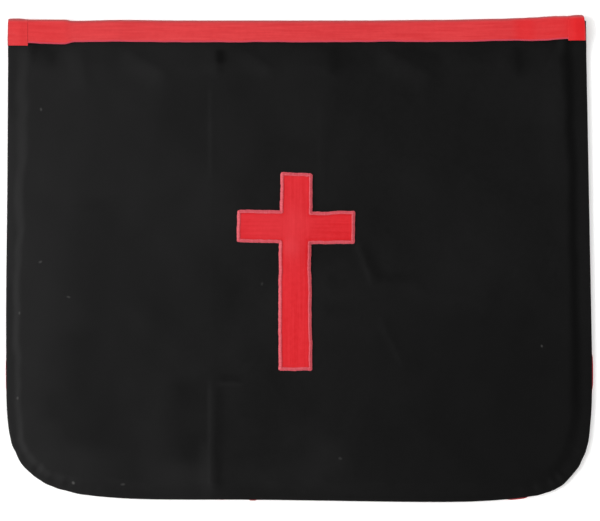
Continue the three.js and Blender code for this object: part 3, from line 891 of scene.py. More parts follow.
@dataclass(frozen=True, kw_only=True)
class ClothFinish(Finish):
    """A woven cloth, dyed a little unevenly.

    Its attribute of painted light and shade is above 0 where light is painted on
    as a paler colour, and below 0 where shade is painted on as a deeper one. Its
    attribute across is 1 where the streaks run along X and 0 where they run along Y.
    """

    # Colours painted on as light where the attribute is above 0, and as shade where it is below 0
    painted_light: Colour
    painted_shade: Colour
    pitch: float
    weave_depth: float
    sheen_roughness: float = 0.45
    # Whether light is painted on, growing towards the upper left
    light_gradient: bool = False
    streaks: float = 0.0
    specks: tuple[Speck, ...] = ()
    speck_colour: Colour = (0.06, 0.06, 0.058)

    def build(self, groups: Groups) -> Material:
        """Makes the material, reading Object coordinates."""
        nodes = self.surface()
        place = nodes.place()
        weave = nodes.group(groups.weave, Vector=place, Pitch=self.pitch)
        uneven = nodes.group(groups.wear_and_painted_light, Vector=place)
        depth = nodes.spread(uneven["Tone"], 0.36, 0.64, 0.0, 1.0)
        if self.streaks:
            depth = self._streaked(nodes, groups, place, depth)
        threads = nodes.math("MULTIPLY_ADD", weave["Height"], 0.3, nodes.math("MULTIPLY", depth, 0.7))
        # Painted light and shade: paler as the attribute and any painted light gradient rise, deeper where
        # the attribute is below 0
        pale = wear_and_painted_light = nodes.mark("wear_and_painted_light")
        if self.light_gradient:
            pale = nodes.math("ADD", self._light_gradient_share(nodes, place, uneven["Cloud"]), wear_and_painted_light)
        colour = nodes.blend(pale, nodes.blend(threads, self.deep, self.colour), self.painted_light)
        colour = nodes.blend(nodes.math("MULTIPLY", wear_and_painted_light, -1.0), colour, self.painted_shade)
        colour = self._specked(nodes, groups, place, colour)
        rough = nodes.spread(weave["Tone"], 0.3, 0.7, self.roughness - 0.06, self.roughness + 0.06)
        nodes.wire(nodes.shader, Base_Color=colour, Roughness=rough)
        nodes.bump(weave["Height"], self.weave_depth)
        return nodes.material

    def _light_gradient_share(self, nodes: Nodes, place: Socket, cloud: Socket) -> Socket:
        """Painted light, growing towards the upper left."""
        parts = nodes.parts(place)
        across = nodes.math("MULTIPLY_ADD", parts["Y"], 0.15, nodes.math("MULTIPLY", parts["X"], -1.0))
        reach = nodes.math("MULTIPLY_ADD", cloud, 0.2, across)
        return nodes.spread(reach, 0.08, 0.23, 0.0, 0.32)

    def _streaked(self, nodes: Nodes, groups: Groups, place: Socket, depth: Socket) -> Socket:
        """Adds streaks along Y to the tone, or along X where across is 1."""
        along_y = nodes.group(groups.streaks, Vector=place, Scale=(1.0, 0.04, 1.0))["Tone"]
        along_x = nodes.group(groups.streaks, Vector=place, Scale=(0.04, 1.0, 1.0))["Tone"]
        change = nodes.math("SUBTRACT", along_x, along_y)
        streak = nodes.math("MULTIPLY_ADD", change, nodes.mark("across"), along_y)
        return nodes.math("ADD", depth, nodes.spread(streak, 0.35, 0.65, -self.streaks, self.streaks))

    def _specked(self, nodes: Nodes, groups: Groups, place: Socket, colour: Socket) -> Socket:
        """Lays each speck of lint over the colour."""
        for speck in self.specks:
            mask = nodes.group(
                groups.lint,
                Vector=place,
                Place=(speck.x * MM, speck.y * MM, 0.0),
                Turn=math.radians(speck.turn),
                Size=(speck.half_length * MM, speck.half_width * MM, 1.0),
            )["Mask"]
            share = nodes.math("MULTIPLY", mask, speck.strength)
            colour = nodes.blend(share, colour, self.speck_colour)
        return colour


@dataclass(frozen=True, kw_only=True)
class RibbonFinish(Finish):
    """A fine ribbed ribbon, its UV map holding metres along and across it.

    The ribs run across the ribbon, faint streaks run along it, and the woven
    edge is paler. Where its attribute of painted light and shade is above 0, shade
    is painted along the fold and ends, and where it is below 0 a deeper colour is
    painted on as shade.
    """

    # Colours of painted shade: deeper towards the ends, and along the fold and ends
    painted_shade: Colour
    fold_and_end_shade: Colour
    edge_colour: Colour
    edge_width: float = 0.9 * MM
    rib_pitch: float = 0.45 * MM
    rib_depth: float = 0.03 * MM

    def build(self, groups: Groups) -> Material:
        """Makes the material, reading the UV map."""
        nodes = self.surface()
        measure = nodes.measure()
        parts = nodes.parts(measure)
        wear_and_painted_light = nodes.group(groups.wear_and_painted_light, Vector=measure)["Tone"]
        streaks = nodes.group(groups.streaks, Vector=measure, Scale=(0.045, 1.0, 1.0))["Tone"]
        tone = nodes.math("MULTIPLY_ADD", streaks, 0.5, nodes.math("MULTIPLY", wear_and_painted_light, 0.5))
        colour = nodes.blend(nodes.spread(tone, 0.4, 0.6, 0.0, 1.0), self.deep, self.colour)
        # Painted shade: a deeper colour where the attribute is below 0, and shade along the fold and ends
        # where it is above 0
        painted_light = nodes.mark("wear_and_painted_light")
        colour = nodes.blend(nodes.math("MULTIPLY", painted_light, -1.0), colour, self.painted_shade)
        colour = nodes.blend(painted_light, colour, self.fold_and_end_shade)
        edge = nodes.spread(parts["Y"], self.edge_width, self.edge_width * 1.4, 1.0, 0.0)
        colour = nodes.blend(edge, colour, self.edge_colour)
        rough = nodes.spread(streaks, 0.3, 0.7, self.roughness - 0.07, self.roughness + 0.07)
        nodes.wire(nodes.shader, Base_Color=colour, Roughness=rough)
        turns = nodes.math("MULTIPLY", parts["X"], 2.0 * math.pi / self.rib_pitch)
        ribs = nodes.math("MULTIPLY_ADD", nodes.math("SINE", turns), 0.5, 0.5)
        nodes.bump(nodes.math("MULTIPLY_ADD", streaks, 0.8, ribs), self.rib_depth)
        return nodes.material


@dataclass(frozen=True, kw_only=True)
class ThreadFinish(Finish):
    """Close stitches of a lustrous thread, each a little lighter or darker."""

    stitch_pitch: float
    sheen_roughness: float = 0.4

    def build(self, groups: Groups) -> Material:
        """Makes the material, reading the UV map: metres along, and a share across."""
        nodes = self.surface()
        along = nodes.parts(nodes.measure())["X"]
        number = nodes.math("FLOOR", nodes.math("DIVIDE", along, self.stitch_pitch))
        draw = nodes.add("ShaderNodeTexWhiteNoise", noise_dimensions="1D")
        nodes.wire(draw.inputs, W=number)
        wear_and_painted_light = nodes.math("MULTIPLY", nodes.group(groups.wear_and_painted_light, Vector=nodes.place())["Tone"], 0.7)
        tone = nodes.math("MULTIPLY_ADD", draw.outputs["Value"], 0.5, wear_and_painted_light)
        colour = nodes.blend(nodes.spread(tone, 0.2, 0.9, 0.0, 1.0), self.deep, self.colour)
        nodes.wire(nodes.shader, Base_Color=colour)
        return nodes.material


BLACK_CLOTH = ClothFinish(
    "black_cloth",
    colour=(0.0046, 0.0045, 0.0046),
    deep=(0.002, 0.002, 0.002),
    # Painted light and shade: paler for painted light, black for painted shade, with light painted towards
    # the upper left
    painted_light=(0.0135, 0.0133, 0.0135),
    painted_shade=(0.0, 0.0, 0.0),
    roughness=0.7,
    specular=0.05,
    sheen=0.02,
    pitch=0.5 * MM,
    weave_depth=0.04 * MM,
    light_gradient=True,
    specks=(
        Speck(-178.3, 103.3, 80, 1.5, 1),
        Speck(-178.7, -2, 150, 1.7, 1),
        Speck(-159.3, -26.2, 10, 1.8, 0.8),
        Speck(-193.2, -37.3, 95, 1.3, 0.9, 0.6),
        Speck(-194.6, -96.1, 100, 1.3, 0.9, 0.6),
        Speck(-156.1, -154.7, 60, 1.4, 1.2, 0.9),
        Speck(-121.9, -155.7, 175, 2, 0.9, 0.4),
        Speck(28.3, -137.7, 20, 1.6, 1.1, 0.25),
        Speck(167.5, -60.1, 70, 1.2, 0.9, 0.45),
        Speck(-25.7, -17.2, 100, 1.5, 1.1, 0.2),
    ),
)
RED_BACKING = ClothFinish(
    "red_backing",
    colour=(0.4, 0.024, 0.033),
    deep=(0.28, 0.014, 0.02),
    painted_light=(0.4, 0.03, 0.04),
    painted_shade=(0.25, 0.01, 0.015),
    roughness=0.8,
    specular=0.1,
    sheen=0.08,
    pitch=0.5 * MM,
    weave_depth=0.05 * MM,
)
CROSS_CLOTH = ClothFinish(
    "red_cross_cloth",
    colour=(0.575, 0.015, 0.022),
    deep=(0.49, 0.004, 0.008),
    # A paler colour for painted highlight, and a deeper one for shade painted next to the border
    painted_light=(0.57, 0.036, 0.046),
    painted_shade=(0.47, 0.003, 0.006),
    roughness=0.62,
    specular=0.1,
    sheen=0.06,
    pitch=0.4 * MM,
    weave_depth=0.02 * MM,
    streaks=0.38,
)
RED_RIBBON = RibbonFinish(
    "red_ribbon",
    colour=(0.57, 0.036, 0.04),
    deep=(0.5, 0.024, 0.028),
    # Colours of painted shade: deeper towards the ends, and along the fold and ends
    painted_shade=(0.57, 0.008, 0.011),
    fold_and_end_shade=(0.28, 0.05, 0.053),
    edge_colour=(0.45, 0.04, 0.066),
)
BORDER_THREAD = ThreadFinish(
    "border_thread", (0.54, 0.078, 0.1), (0.45, 0.045, 0.06), stitch_pitch=0.45 * MM
)


# The apron's pieces


@dataclass
class FaceCloth:
    """The black cloth, its edge turned under as a hem along the sides and base."""

    lay: Lay
    ply: float = 0.7 * MM
    rows: int = 144
    columns: int = 196
    top_lines: int = 17
    fold_lines: int = 9
    under_lines: int = 4
    gather_high: float = 0.17 * MM
    gather: Wobble = Wobble(seed=3, longest=14 * MM, shortest=6.5 * MM, waves=5)
    ragged: Wobble = Wobble(seed=8, longest=34 * MM, shortest=9 * MM, waves=6)
    ragged_width: float = 0.16 * MM
    ragged_reach: float = 8 * MM
    # How strong the light and shade painted on the black cloth are, by place
    left_slope_highlight: float = 0.12
    left_painted_light: float = 0.26
    right_slope_shade: float = 0.8
    under_band_shade: float = 0.05
    low_right_shade: float = 0.42
    right_eased: float = 0.65
    top_eased: float = 0.8
    band_shade_width: float = 18 * MM

    def build(self, material: Material) -> Piece:
        """Joins the rim, carried round the edge, to the middle patch.

        The rim's line goes out along the upper side, round the hem's fold as a
        half ellipse, and back in along the hem's underside.
        """
        lay = self.lay
        edge = Edge(lay, self.rows, self.columns)
        radius = lay.hem_thickness / 2.0
        out = np.linspace(lay.rim_reach, radius, self.top_lines)
        turns = np.linspace(0.0, np.pi, self.fold_lines + 2)[1:-1]
        back = np.linspace(radius, lay.hem_width, self.under_lines)
        insets = np.concatenate([out, radius - radius * np.sin(turns), back])
        plan = edge.plan(insets)
        x, y = plan[..., 0], plan[..., 1]
        inset = np.broadcast_to(insets[:, None], x.shape)
        fold_share = np.concatenate([np.ones(len(out)), (1.0 + np.cos(turns)) / 2.0, np.zeros(len(back))])
        over = lay.face_top(x, y, inset) + self._gathers(edge, inset)
        round_fold = lay.face_under(x, y) + lay.hem_thickness * fold_share[:, None]
        upper = (np.arange(len(insets)) < len(out))[:, None]
        z = np.where(upper, over, round_fold)
        wavy = self.ragged_width * self.ragged.along(self._reach(edge)) * self._corner_share(edge)
        plan = plan + edge.inward[None] * (wavy[None] * fall(inset, 0.0, self.ragged_reach))[..., None]
        patch = edge.patch()
        inner_x, inner_y = patch[..., 0], patch[..., 1]
        points, faces, new = edge.join(plan, z, patch, lay.middle_top(inner_x, inner_y))
        # Light and shade painted on, kept as an attribute for the finish
        inside = self._painted_light_and_shade(inner_x, inner_y, np.full(new.shape, lay.rim_reach))[new]
        wear_and_painted_light = np.concatenate([self._painted_light_and_shade(x, y, inset).ravel(), inside])
        piece = make_piece("face_cloth_sewn", points, faces, marks={"wear_and_painted_light": wear_and_painted_light})
        thicken(piece, self.ply)
        dress(piece, material, "face_cloth")
        return piece

    def _painted_light_and_shade(self, x: Array, y: Array, inset: Array) -> Array:
        """Painted light and shade by place: light on the left shoulder's slope and near the
        left side; shade on the right shoulder's slope, under the band and towards the
        lower right; and light and shade along the folds.

        On the hem's shoulder it goes by 4r(1 − r), r being the share of the way in.
        """
        inner = self.lay.inner(x, y, inset)
        slope = 4.0 * inner * (1.0 - inner)
        left = smoothstep(-x, 140 * MM, 185 * MM)
        straight = 1.0 - self.right_eased * smoothstep(-y, 85 * MM, 130 * MM)
        right = self.right_slope_shade * straight * smoothstep(x, 130 * MM, 180 * MM)
        spared = self.top_eased * smoothstep(y, 60 * MM, 145 * MM)
        lit_left = smoothstep(-x, 125 * MM, 195 * MM) * (1.0 - spared)
        low_right = smoothstep(x, 25 * MM, 105 * MM) * smoothstep(-y, -10 * MM, 80 * MM)
        band_shade = 1.0 - self.lay.under_band(x, y, self.band_shade_width)
        painted_shade = self.under_band_shade * band_shade + self.low_right_shade * low_right
        painted_light_share = self.left_painted_light * lit_left + sum(fold.painted_light_share * fold.share(x, y) for fold in FACE_FOLDS)
        return slope * (self.left_slope_highlight * left - right) + (painted_light_share - painted_shade) * (1.0 - slope * right)

    def _reach(self, edge: Edge) -> Array:
        """Running length along the edge at each station."""
        steps = np.linalg.norm(np.diff(edge.places, axis=0), axis=1)
        return np.concatenate([[0.0], np.cumsum(steps)])

    def _corner_share(self, edge: Edge) -> Array:
        """1 round the two lower corners and 0 along straight edges."""
        return smoothstep(np.abs(edge.inward[:, 0] * edge.inward[:, 1]), 0.03, 0.3)

    def _gathers(self, edge: Edge, inset: Array) -> Array:
        """Small ripples round the corners, where the hem takes up its spare length."""
        ripple = self.gather.along(self._reach(edge)) * self._corner_share(edge)
        window = smoothstep(inset, 1.0 * MM, 3.5 * MM) * fall(inset, 6 * MM, 13 * MM)
        return self.gather_high * ripple[None] * window


@dataclass(frozen=True)
class Peek:
    """A stretch of the edge where the backing shows: a side, or the base."""

    side: Optional[Side]
    at: float
    half: float
    out: float


@dataclass
class BackCloth:
    """The red backing, seen as hairlines past the hem and from behind."""

    lay: Lay
    ply: float = 0.7 * MM
    rows: int = 96
    columns: int = 150
    rim_lines: int = 8
    hidden: float = 1.2 * MM
    shown: float = 0.85 * MM
    low_drop: float = 60 * MM
    peeks: tuple[Peek, ...] = (
        Peek(Side.LEFT, -0.08, 0.0235, 0.78),
        Peek(Side.RIGHT, -0.0783, 0.0222, 1.0),
        Peek(None, -0.0532, 0.0057, 0.7),
        Peek(None, -0.0317, 0.0061, 0.9),
        Peek(None, 0.1512, 0.0122, 1.0),
    )

    def _outset(self, edge: Edge) -> Array:
        """How far in from the hem's edge the backing ends at each station."""
        x, y = edge.places[:, 0], edge.places[:, 1]
        low = y < self.lay.left.centre_y - self.low_drop
        shown = np.zeros(len(x))
        for peek in self.peeks:
            place, near = (x, low) if peek.side is None else (y, np.sign(x) == peek.side.value)
            shown = np.maximum(shown, peek.out * np.where(near, hump(place - peek.at, peek.half), 0.0))
        return mix(self.hidden, -self.shown, shown)

    def build(self, material: Material) -> Piece:
        """Lays the sheet flat, its edge a set way inside or outside the hem's."""
        lay = self.lay
        edge = Edge(lay, self.rows, self.columns)
        out = np.linspace(0.0, 1.0, self.rim_lines)[:, None]
        rim = edge.plan(mix(lay.rim_reach, self._outset(edge)[None, :], out))
        patch = edge.patch()
        level = (lay.cloth + self.ply) / 2.0
        rim_z, patch_z = (lay.back_under(net[..., 0], net[..., 1]) + level for net in (rim, patch))
        points, faces, _ = edge.join(rim, rim_z, patch, patch_z)
        piece = make_piece("back_cloth_laid", points, faces)
        thicken(piece, self.ply)
        dress(piece, material, "back_cloth")
        return piece


@dataclass
class Waistband:
    """The red ribbon folded over the top edge, its two ends turned in and doubled."""

    lay: Lay
    ply: float = 0.7 * MM
    spacing: float = 1.0 * MM
    back_lines: int = 6
    fold_lines: int = 15
    front_lines: int = 26
    front_ease: float = 0.85
    swell: float = 0.22 * MM
    lip_dip: float = 0.3 * MM
    dip_from: float = 0.72
    edge_bead: float = 0.16 * MM
    edge_width: float = 0.9 * MM
    waver: Wobble = Wobble(seed=21, longest=70 * MM, shortest=14 * MM, waves=7)
    waver_high: float = 0.07 * MM
    waver_grain: float = 3.0
    waver_until: float = 0.9
    edge_waver: float = 0.09 * MM
    end_slant: float = 1.2 * MM
    left_slant: float = -0.3
    slant_power: float = 1.5
    slant_reach: float = 12 * MM
    bridge_from: float = 12 * MM
    bridge_to: float = 42 * MM
    crease_width: float = 1.6 * MM
    end_width: float = 0.8 * MM
    # Strength of the shade painted along the fold and the ends
    crease_shade: float = 0.94
    # Places along the band, in millimetres, and how much deeper colour is painted on the ribbon there as
    # shade
    painted_shade_at: Row = (-203, -163, -157, 60, 146, 152, 159, 165, 182, 190, 203)
    painted_shade: Row = (0.3, 0.22, 0, 0, 0.15, 0.6, 0.6, 0.35, 0.45, 0.95, 1)

    def wear_and_painted_light(self, x: Array, y: Array) -> Array:
        """Painted shade on the ribbon: along its fold and its ends, and as a deeper colour
        towards both ends, least in its middle.

        The shade along the fold and ends is its strength × exp(−(distance / width)²),
        from the fold by crease_width, or from an end by end_width.
        """
        band = self.lay.band
        fold_and_end_shade = bell(np.minimum((band.top(x) - y) / self.crease_width, band.to_end(x) / self.end_width))
        painted_shade = np.interp(x, np.array(self.painted_shade_at) * MM, self.painted_shade)
        return self.crease_shade * fold_and_end_shade - painted_shade * (1.0 - fold_and_end_shade)

    @property
    def back_level(self) -> float:
        """Outer side of the back flap, just over the floor."""
        return (self.lay.cloth - self.ply) / 2.0

    def front_under(self, x: Array) -> Array:
        """Underside of the front flap, which bridges the step at the inside of the hem."""
        lay = self.lay
        bridge = fall(lay.band.to_end(x), self.bridge_from, self.bridge_to)
        step = (lay.hem_thickness - lay.cloth) * bridge
        return lay.face_under(x, lay.band.lip(x)) + lay.cloth + step + lay.gap

    def front_top(self, x: Array) -> Array:
        """Upper side of the front flap, thicker where its end is doubled."""
        band = self.lay.band
        return self.front_under(x) + self.lay.cloth * (1.0 + band.column(x, band.doubled))

    def front_lip(self, x: Array) -> Array:
        """Y of the front flap's edge, which wavers a little."""
        return self.lay.band.lip(x) + self.edge_waver * self.waver.along(x)

    def front_z(self, x: Array, y: Array) -> Array:
        """Upper side of the front flap at a place on it.

        It swells by a sine between fold and lip, dips to the lip, and ends in a
        low bead, exp(−(distance from the bead's middle / half its width)²) high.
        """
        centre, lip = self.lay.band.cloth_top(x), self.front_lip(x)
        share = np.clip((centre - y) / (centre - lip), 0.0, 1.0)
        swell = self.swell * np.sin(np.pi * share) - self.lip_dip * smoothstep(share, self.dip_from, 1.0)
        half = self.edge_width / 2.0
        bead = self.edge_bead * bell((y - lip - half) / half)
        waver = self.waver_high * self.waver.over(np.broadcast_to(x, y.shape), y * self.waver_grain)
        waver = waver * np.sin(np.pi * np.clip(share, 0.0, self.waver_until))
        return self.front_top(x) + swell + bead + waver

    def slant(self, x: Array, y: Array) -> Array:
        """How far the band's ends lean to the left, from nothing at the lip up to the fold."""
        band = self.lay.band
        up = np.clip((y - band.lip(x)) / (band.top(x) - band.lip(x)), 0.0, 1.0)
        near = fall(band.to_end(x), 0.0, self.slant_reach)
        return self.end_slant * up**self.slant_power * near * np.where(x < 0.0, self.left_slant, 1.0)

    def build(self, material: Material) -> Piece:
        """Carries the ribbon's section along the band.

        The section runs along the back flap to the fold, round it as a half
        ellipse, and down the front flap.
        """
        band = self.lay.band
        x = np.linspace(band.left, band.right, int((band.right - band.left) / self.spacing))
        centre, high, under = band.cloth_top(x), self.front_top(x), self.back_level
        share = np.linspace(0.0, 1.0, self.back_lines)[:, None]
        back_y = mix(band.lip(x), centre, share)
        back_z = np.full(back_y.shape, under)
        turn = np.linspace(0.0, np.pi, self.fold_lines + 2)[1:-1, None]
        fold_y = centre + (band.top(x) - centre) * np.sin(turn)
        fold_z = mix(under, high, (1.0 - np.cos(turn)) / 2.0)
        share = np.linspace(0.0, 1.0, self.front_lines)[:, None] ** self.front_ease
        front_y = mix(centre, self.front_lip(x), share)
        y = np.concatenate([back_y, fold_y, front_y])
        z = np.concatenate([back_z, fold_z, self.front_z(x, front_y)])
        points = np.stack([x - self.slant(x, y), y, z], axis=-1)
        steps = np.linalg.norm(np.diff(points[::-1], axis=0), axis=-1)
        from_lip = np.concatenate([np.zeros((1, len(x))), np.cumsum(steps, axis=0)])[::-1]
        uv = np.stack([points[..., 0], from_lip], axis=-1)
        # Shade painted along the fold and ends, and as a deeper colour towards both ends
        marks = {"wear_and_painted_light": self.wear_and_painted_light(x, y)}
        piece = make_piece("waistband_ribbon", points, grid_faces(*y.shape), uv, marks)
        thicken(piece, self.ply)
        dress(piece, material, "waistband")
        return piece


@dataclass
class EndTab:
    """A folded end of ribbon lying on the waistband at one of its ends."""

    band_piece: Waistband
    side: Side
    width: float
    drop: float
    ply: float = 0.55 * MM
    clear: float = 0.05 * MM
    columns: int = 30
    flat_rows: int = 30
    fold_rows: int = 15
    thin: float = 0.08
    soft_edge: float = 6.5 * MM
    soft_lip: float = 0.9 * MM
    hidden_edge: float = 1.3 * MM

    def _layer(self, x: Array, flat_y: Array, out: Array) -> Array:
        """Points a way out from the band, from its fold's outer edge down to the tab's lip.

        They follow the front flap, and the fold as a quarter ellipse whose two
        half axes are longer by the way out.
        """
        band_piece, band = self.band_piece, self.band_piece.lay.band
        high, low = band_piece.front_top(x), band_piece.back_level
        turn = np.linspace(np.pi / 2.0, 0.0, self.fold_rows + 1)[:-1, None]
        over_fold, over_flat = out[: self.fold_rows], out[self.fold_rows :]
        centre = band.cloth_top(x)
        fold_y = centre + (band.top(x) - centre + over_fold) * np.sin(turn)
        fold_z = (high + low) / 2.0 + ((high - low) / 2.0 + over_fold) * np.cos(turn)
        y = np.concatenate([fold_y, flat_y])
        z = np.concatenate([fold_z, band_piece.front_z(x, flat_y) + over_flat])
        return np.stack([x - band_piece.slant(x, y), y, z], axis=-1)

    def build(self, material: Material) -> Piece:
        """Closes a thin shell over the band's end, from the fold to below its lip.

        Its thickness rises from the share thin at its inner edge, and halves by a
        square towards its lip.
        """
        band_piece, band = self.band_piece, self.band_piece.lay.band
        outer = band.left if self.side is Side.LEFT else band.right
        inner = outer - self.side.value * self.width
        x = np.linspace(min(inner, outer), max(inner, outer), self.columns)
        low = band.lip(x) - self.drop
        flat_y = mix(band.cloth_top(x), low, np.linspace(0.0, 1.0, self.flat_rows)[:, None])
        to_lip = np.clip(1.0 - (flat_y - low) / self.soft_lip, 0.0, 1.0) ** 2
        to_lip = np.concatenate([np.zeros((self.fold_rows, self.columns)), to_lip])
        edge = mix(self.thin, 1.0, smoothstep(np.abs(x - inner), 0.0, self.soft_edge))
        under = np.full(to_lip.shape, self.clear)
        upper = self._layer(x, flat_y, under + self.ply * edge * (1.0 - 0.5 * to_lip))
        points = np.stack([upper, self._layer(x, flat_y, under)])
        uv = np.stack([points[..., 0], points[..., 1] - low + self.hidden_edge], axis=-1)
        # Shade painted on as on the band's ends
        wear_and_painted_light = band_piece.wear_and_painted_light(points[..., 0], points[..., 1])
        faces = shell_faces(*to_lip.shape)
        solid = f"end_tab_{self.side.name.lower()}"
        piece = make_piece(f"{solid}_ribbon", points, faces, uv, {"wear_and_painted_light": wear_and_painted_light})
        dress(piece, material, solid)
        return piece


@dataclass
class Cross:
    """The sewn cross: its outline, its cloth and its border of close stitches."""

    lay: Lay
    height: float = 137.4 * MM
    width: float = 82.4 * MM
    bar: float = 22.9 * MM
    bar_below_top: float = 37.3 * MM
    centre: tuple[float, float] = (-2.7 * MM, -8.8 * MM)
    turn: float = math.radians(-0.5)
    ply: float = 0.6 * MM
    spacing: float = 0.9 * MM
    crown: float = 0.22 * MM
    border_width: float = 2.35 * MM
    border_rise: float = 0.42 * MM
    stitch_pitch: float = 0.45 * MM
    stitch_depth: float = 0.1 * MM
    stitch_steps: int = 5
    corner_round: float = 0.35 * MM
    wander: Wobble = Wobble(seed=31, longest=30 * MM, shortest=5 * MM, waves=7)
    wander_width: float = 0.09 * MM
    # Shade painted on next to the border, and how far in it reaches
    border_shade: float = 0.35
    border_shade_reach: float = 0.4
    arc_points: int = 7
    stitch_seed: int = 17
    reach_uneven: float = 0.07
    stand_uneven: float = 0.1
    dome_power: float = 0.8
    sunk: float = 0.05 * MM
    # Places across the border, from 1 inside to -1 outside, the last two underneath
    section: Row = (1, 0.9, 0.72, 0.45, 0.15, -0.15, -0.45, -0.72, -0.9, -1, -0.95, 0.95)
    # Places painted lighter as highlight, from the middle of the crossing
    painted_highlights: tuple[Spot, ...] = (
        Spot(-12, 3, 32, 0.3),
        Spot(-3, -14, 7, 0.35),
        Spot(0, 3, 9, 0.15),
    )
    # How far each corner of the hand-cut outline lies from its true place, in
    # millimetres, from the foot's right corner round to its left one
    astray_x: Row = (0.9, -0.75, -0.35, -0.2, -0.1, -0.1, 0.65, 0.6, 0.7, 0.55, 0, 0.35)
    astray_y: Row = (0.5, -0.9, -0.35, -0.45, -1.4, -0.65, 0.05, -0.4, -0.45, 0.1, -0.35, 0.4)
    astray_width: float = 14 * MM
    astray_floor: float = 0.05

    def corners(self, out: float) -> Array:
        """The twelve corners moved out by a way, in order as seen from above."""
        wide, tall, bar = self.width / 2 + out, self.height / 2 + out, self.bar / 2 + out
        level = self.height / 2 - self.bar_below_top
        foot, arm = level - bar, level + bar
        half = np.array([(bar, -tall), (bar, foot), (wide, foot), (wide, arm), (bar, arm), (bar, tall)])
        return np.concatenate([half, half[::-1] * (-1.0, 1.0)])

    def settle(self, x: Array, y: Array) -> tuple[Array, Array]:
        """Moves true places to their hand-cut ones, then turns and places the cross.

        The move is a mean of the corners' moves, weighted by the bell curve of
        distance / astray_width, and fades out far from all of them.
        """
        true = self.corners(0.0)
        away = (x[..., None] - true[:, 0]) ** 2 + (y[..., None] - true[:, 1]) ** 2
        near = np.exp(-away / self.astray_width**2)
        share = near / (near.sum(axis=-1, keepdims=True) + self.astray_floor)
        x = x + share @ (np.array(self.astray_x) * MM)
        y = y + share @ (np.array(self.astray_y) * MM)
        cos, sin = math.cos(self.turn), math.sin(self.turn)
        return self.centre[0] + x * cos - y * sin, self.centre[1] + x * sin + y * cos

    def build_cloth(self, material: Material) -> Piece:
        """Nets the outline's two bars, a little crowned between their edges."""
        inset = self.border_width / 2
        wide, tall, bar = self.width / 2 - inset, self.height / 2 - inset, self.bar / 2 - inset
        level = self.height / 2 - self.bar_below_top
        xs = self._lines((-wide, -bar, bar, wide))
        ys = self._lines((-tall, level - bar, level + bar, tall))[::-1]
        x, y = np.meshgrid(xs, ys)
        in_x = np.abs((xs[1:] + xs[:-1]) / 2) < bar
        in_y = np.abs((ys[1:] + ys[:-1]) / 2 - level) < bar
        cells = (in_x[None, :] | in_y[:, None]).ravel()
        faces = grid_faces(*x.shape)[cells]
        used, faces = np.unique(faces, return_inverse=True)
        upright = np.clip(1.0 - np.abs(x) / bar, 0.0, 1.0)
        level_bar = np.clip(1.0 - np.abs(y - level) / bar, 0.0, 1.0)
        depth = np.maximum(upright, level_bar)
        # Highlight painted at the listed places, less the shade painted next to the border
        painted_light_share = sum(highlight_spot.strength(x, y - level) for highlight_spot in self.painted_highlights)
        wear_and_painted_light = painted_light_share - self.border_shade * fall(depth, 0.0, self.border_shade_reach)
        across = np.abs(x) > bar
        x, y = self.settle(x, y)
        z = self.lay.middle_top(x, y) + self.lay.gap + self.ply + self.crown * np.sqrt(depth)
        points = np.stack([x, y, z], axis=-1).reshape(-1, 3)[used]
        marks = {"wear_and_painted_light": wear_and_painted_light.ravel()[used], "across": across.ravel()[used]}
        piece = make_piece("cross_cloth_sewn", points, faces.reshape(-1, 4), marks=marks)
        thicken(piece, self.ply)
        dress(piece, material, "cross_cloth")
        return piece

    def _lines(self, marks: Sequence[float]) -> Array:
        """Evenly spaced lines that include each mark."""
        parts = []
        for low, high in zip(marks, marks[1:]):
            parts.append(np.linspace(low, high, max(2, round((high - low) / self.spacing)) + 1))
        return np.unique(np.round(np.concatenate(parts), 9))

    def _path(self) -> Array:
        """The border's middle line, its corners rounded by short arcs."""
        corners = self.corners(-self.border_width / 2)
        before = np.roll(corners, 1, axis=0) - corners
        after = np.roll(corners, -1, axis=0) - corners
        before /= np.linalg.norm(before, axis=1, keepdims=True)
        after /= np.linalg.norm(after, axis=1, keepdims=True)
        share = np.linspace(0.0, 1.0, self.arc_points)[None, :, None]
        # Each corner is a parabola from one side to the other, pulled to the corner
        start, end = corners + before * self.corner_round, corners + after * self.corner_round
        arcs = (1 - share) ** 2 * start[:, None] + share**2 * end[:, None]
        arcs = arcs + 2 * share * (1 - share) * corners[:, None]
        line = arcs.reshape(-1, 2)
        line = np.concatenate([line, line[:1]])
        length = float(np.linalg.norm(np.diff(line, axis=0), axis=1).sum())
        count = int(round(length / self.stitch_pitch)) * self.stitch_steps
        return resample(line, np.ones(len(line)), count + 1)[:-1]

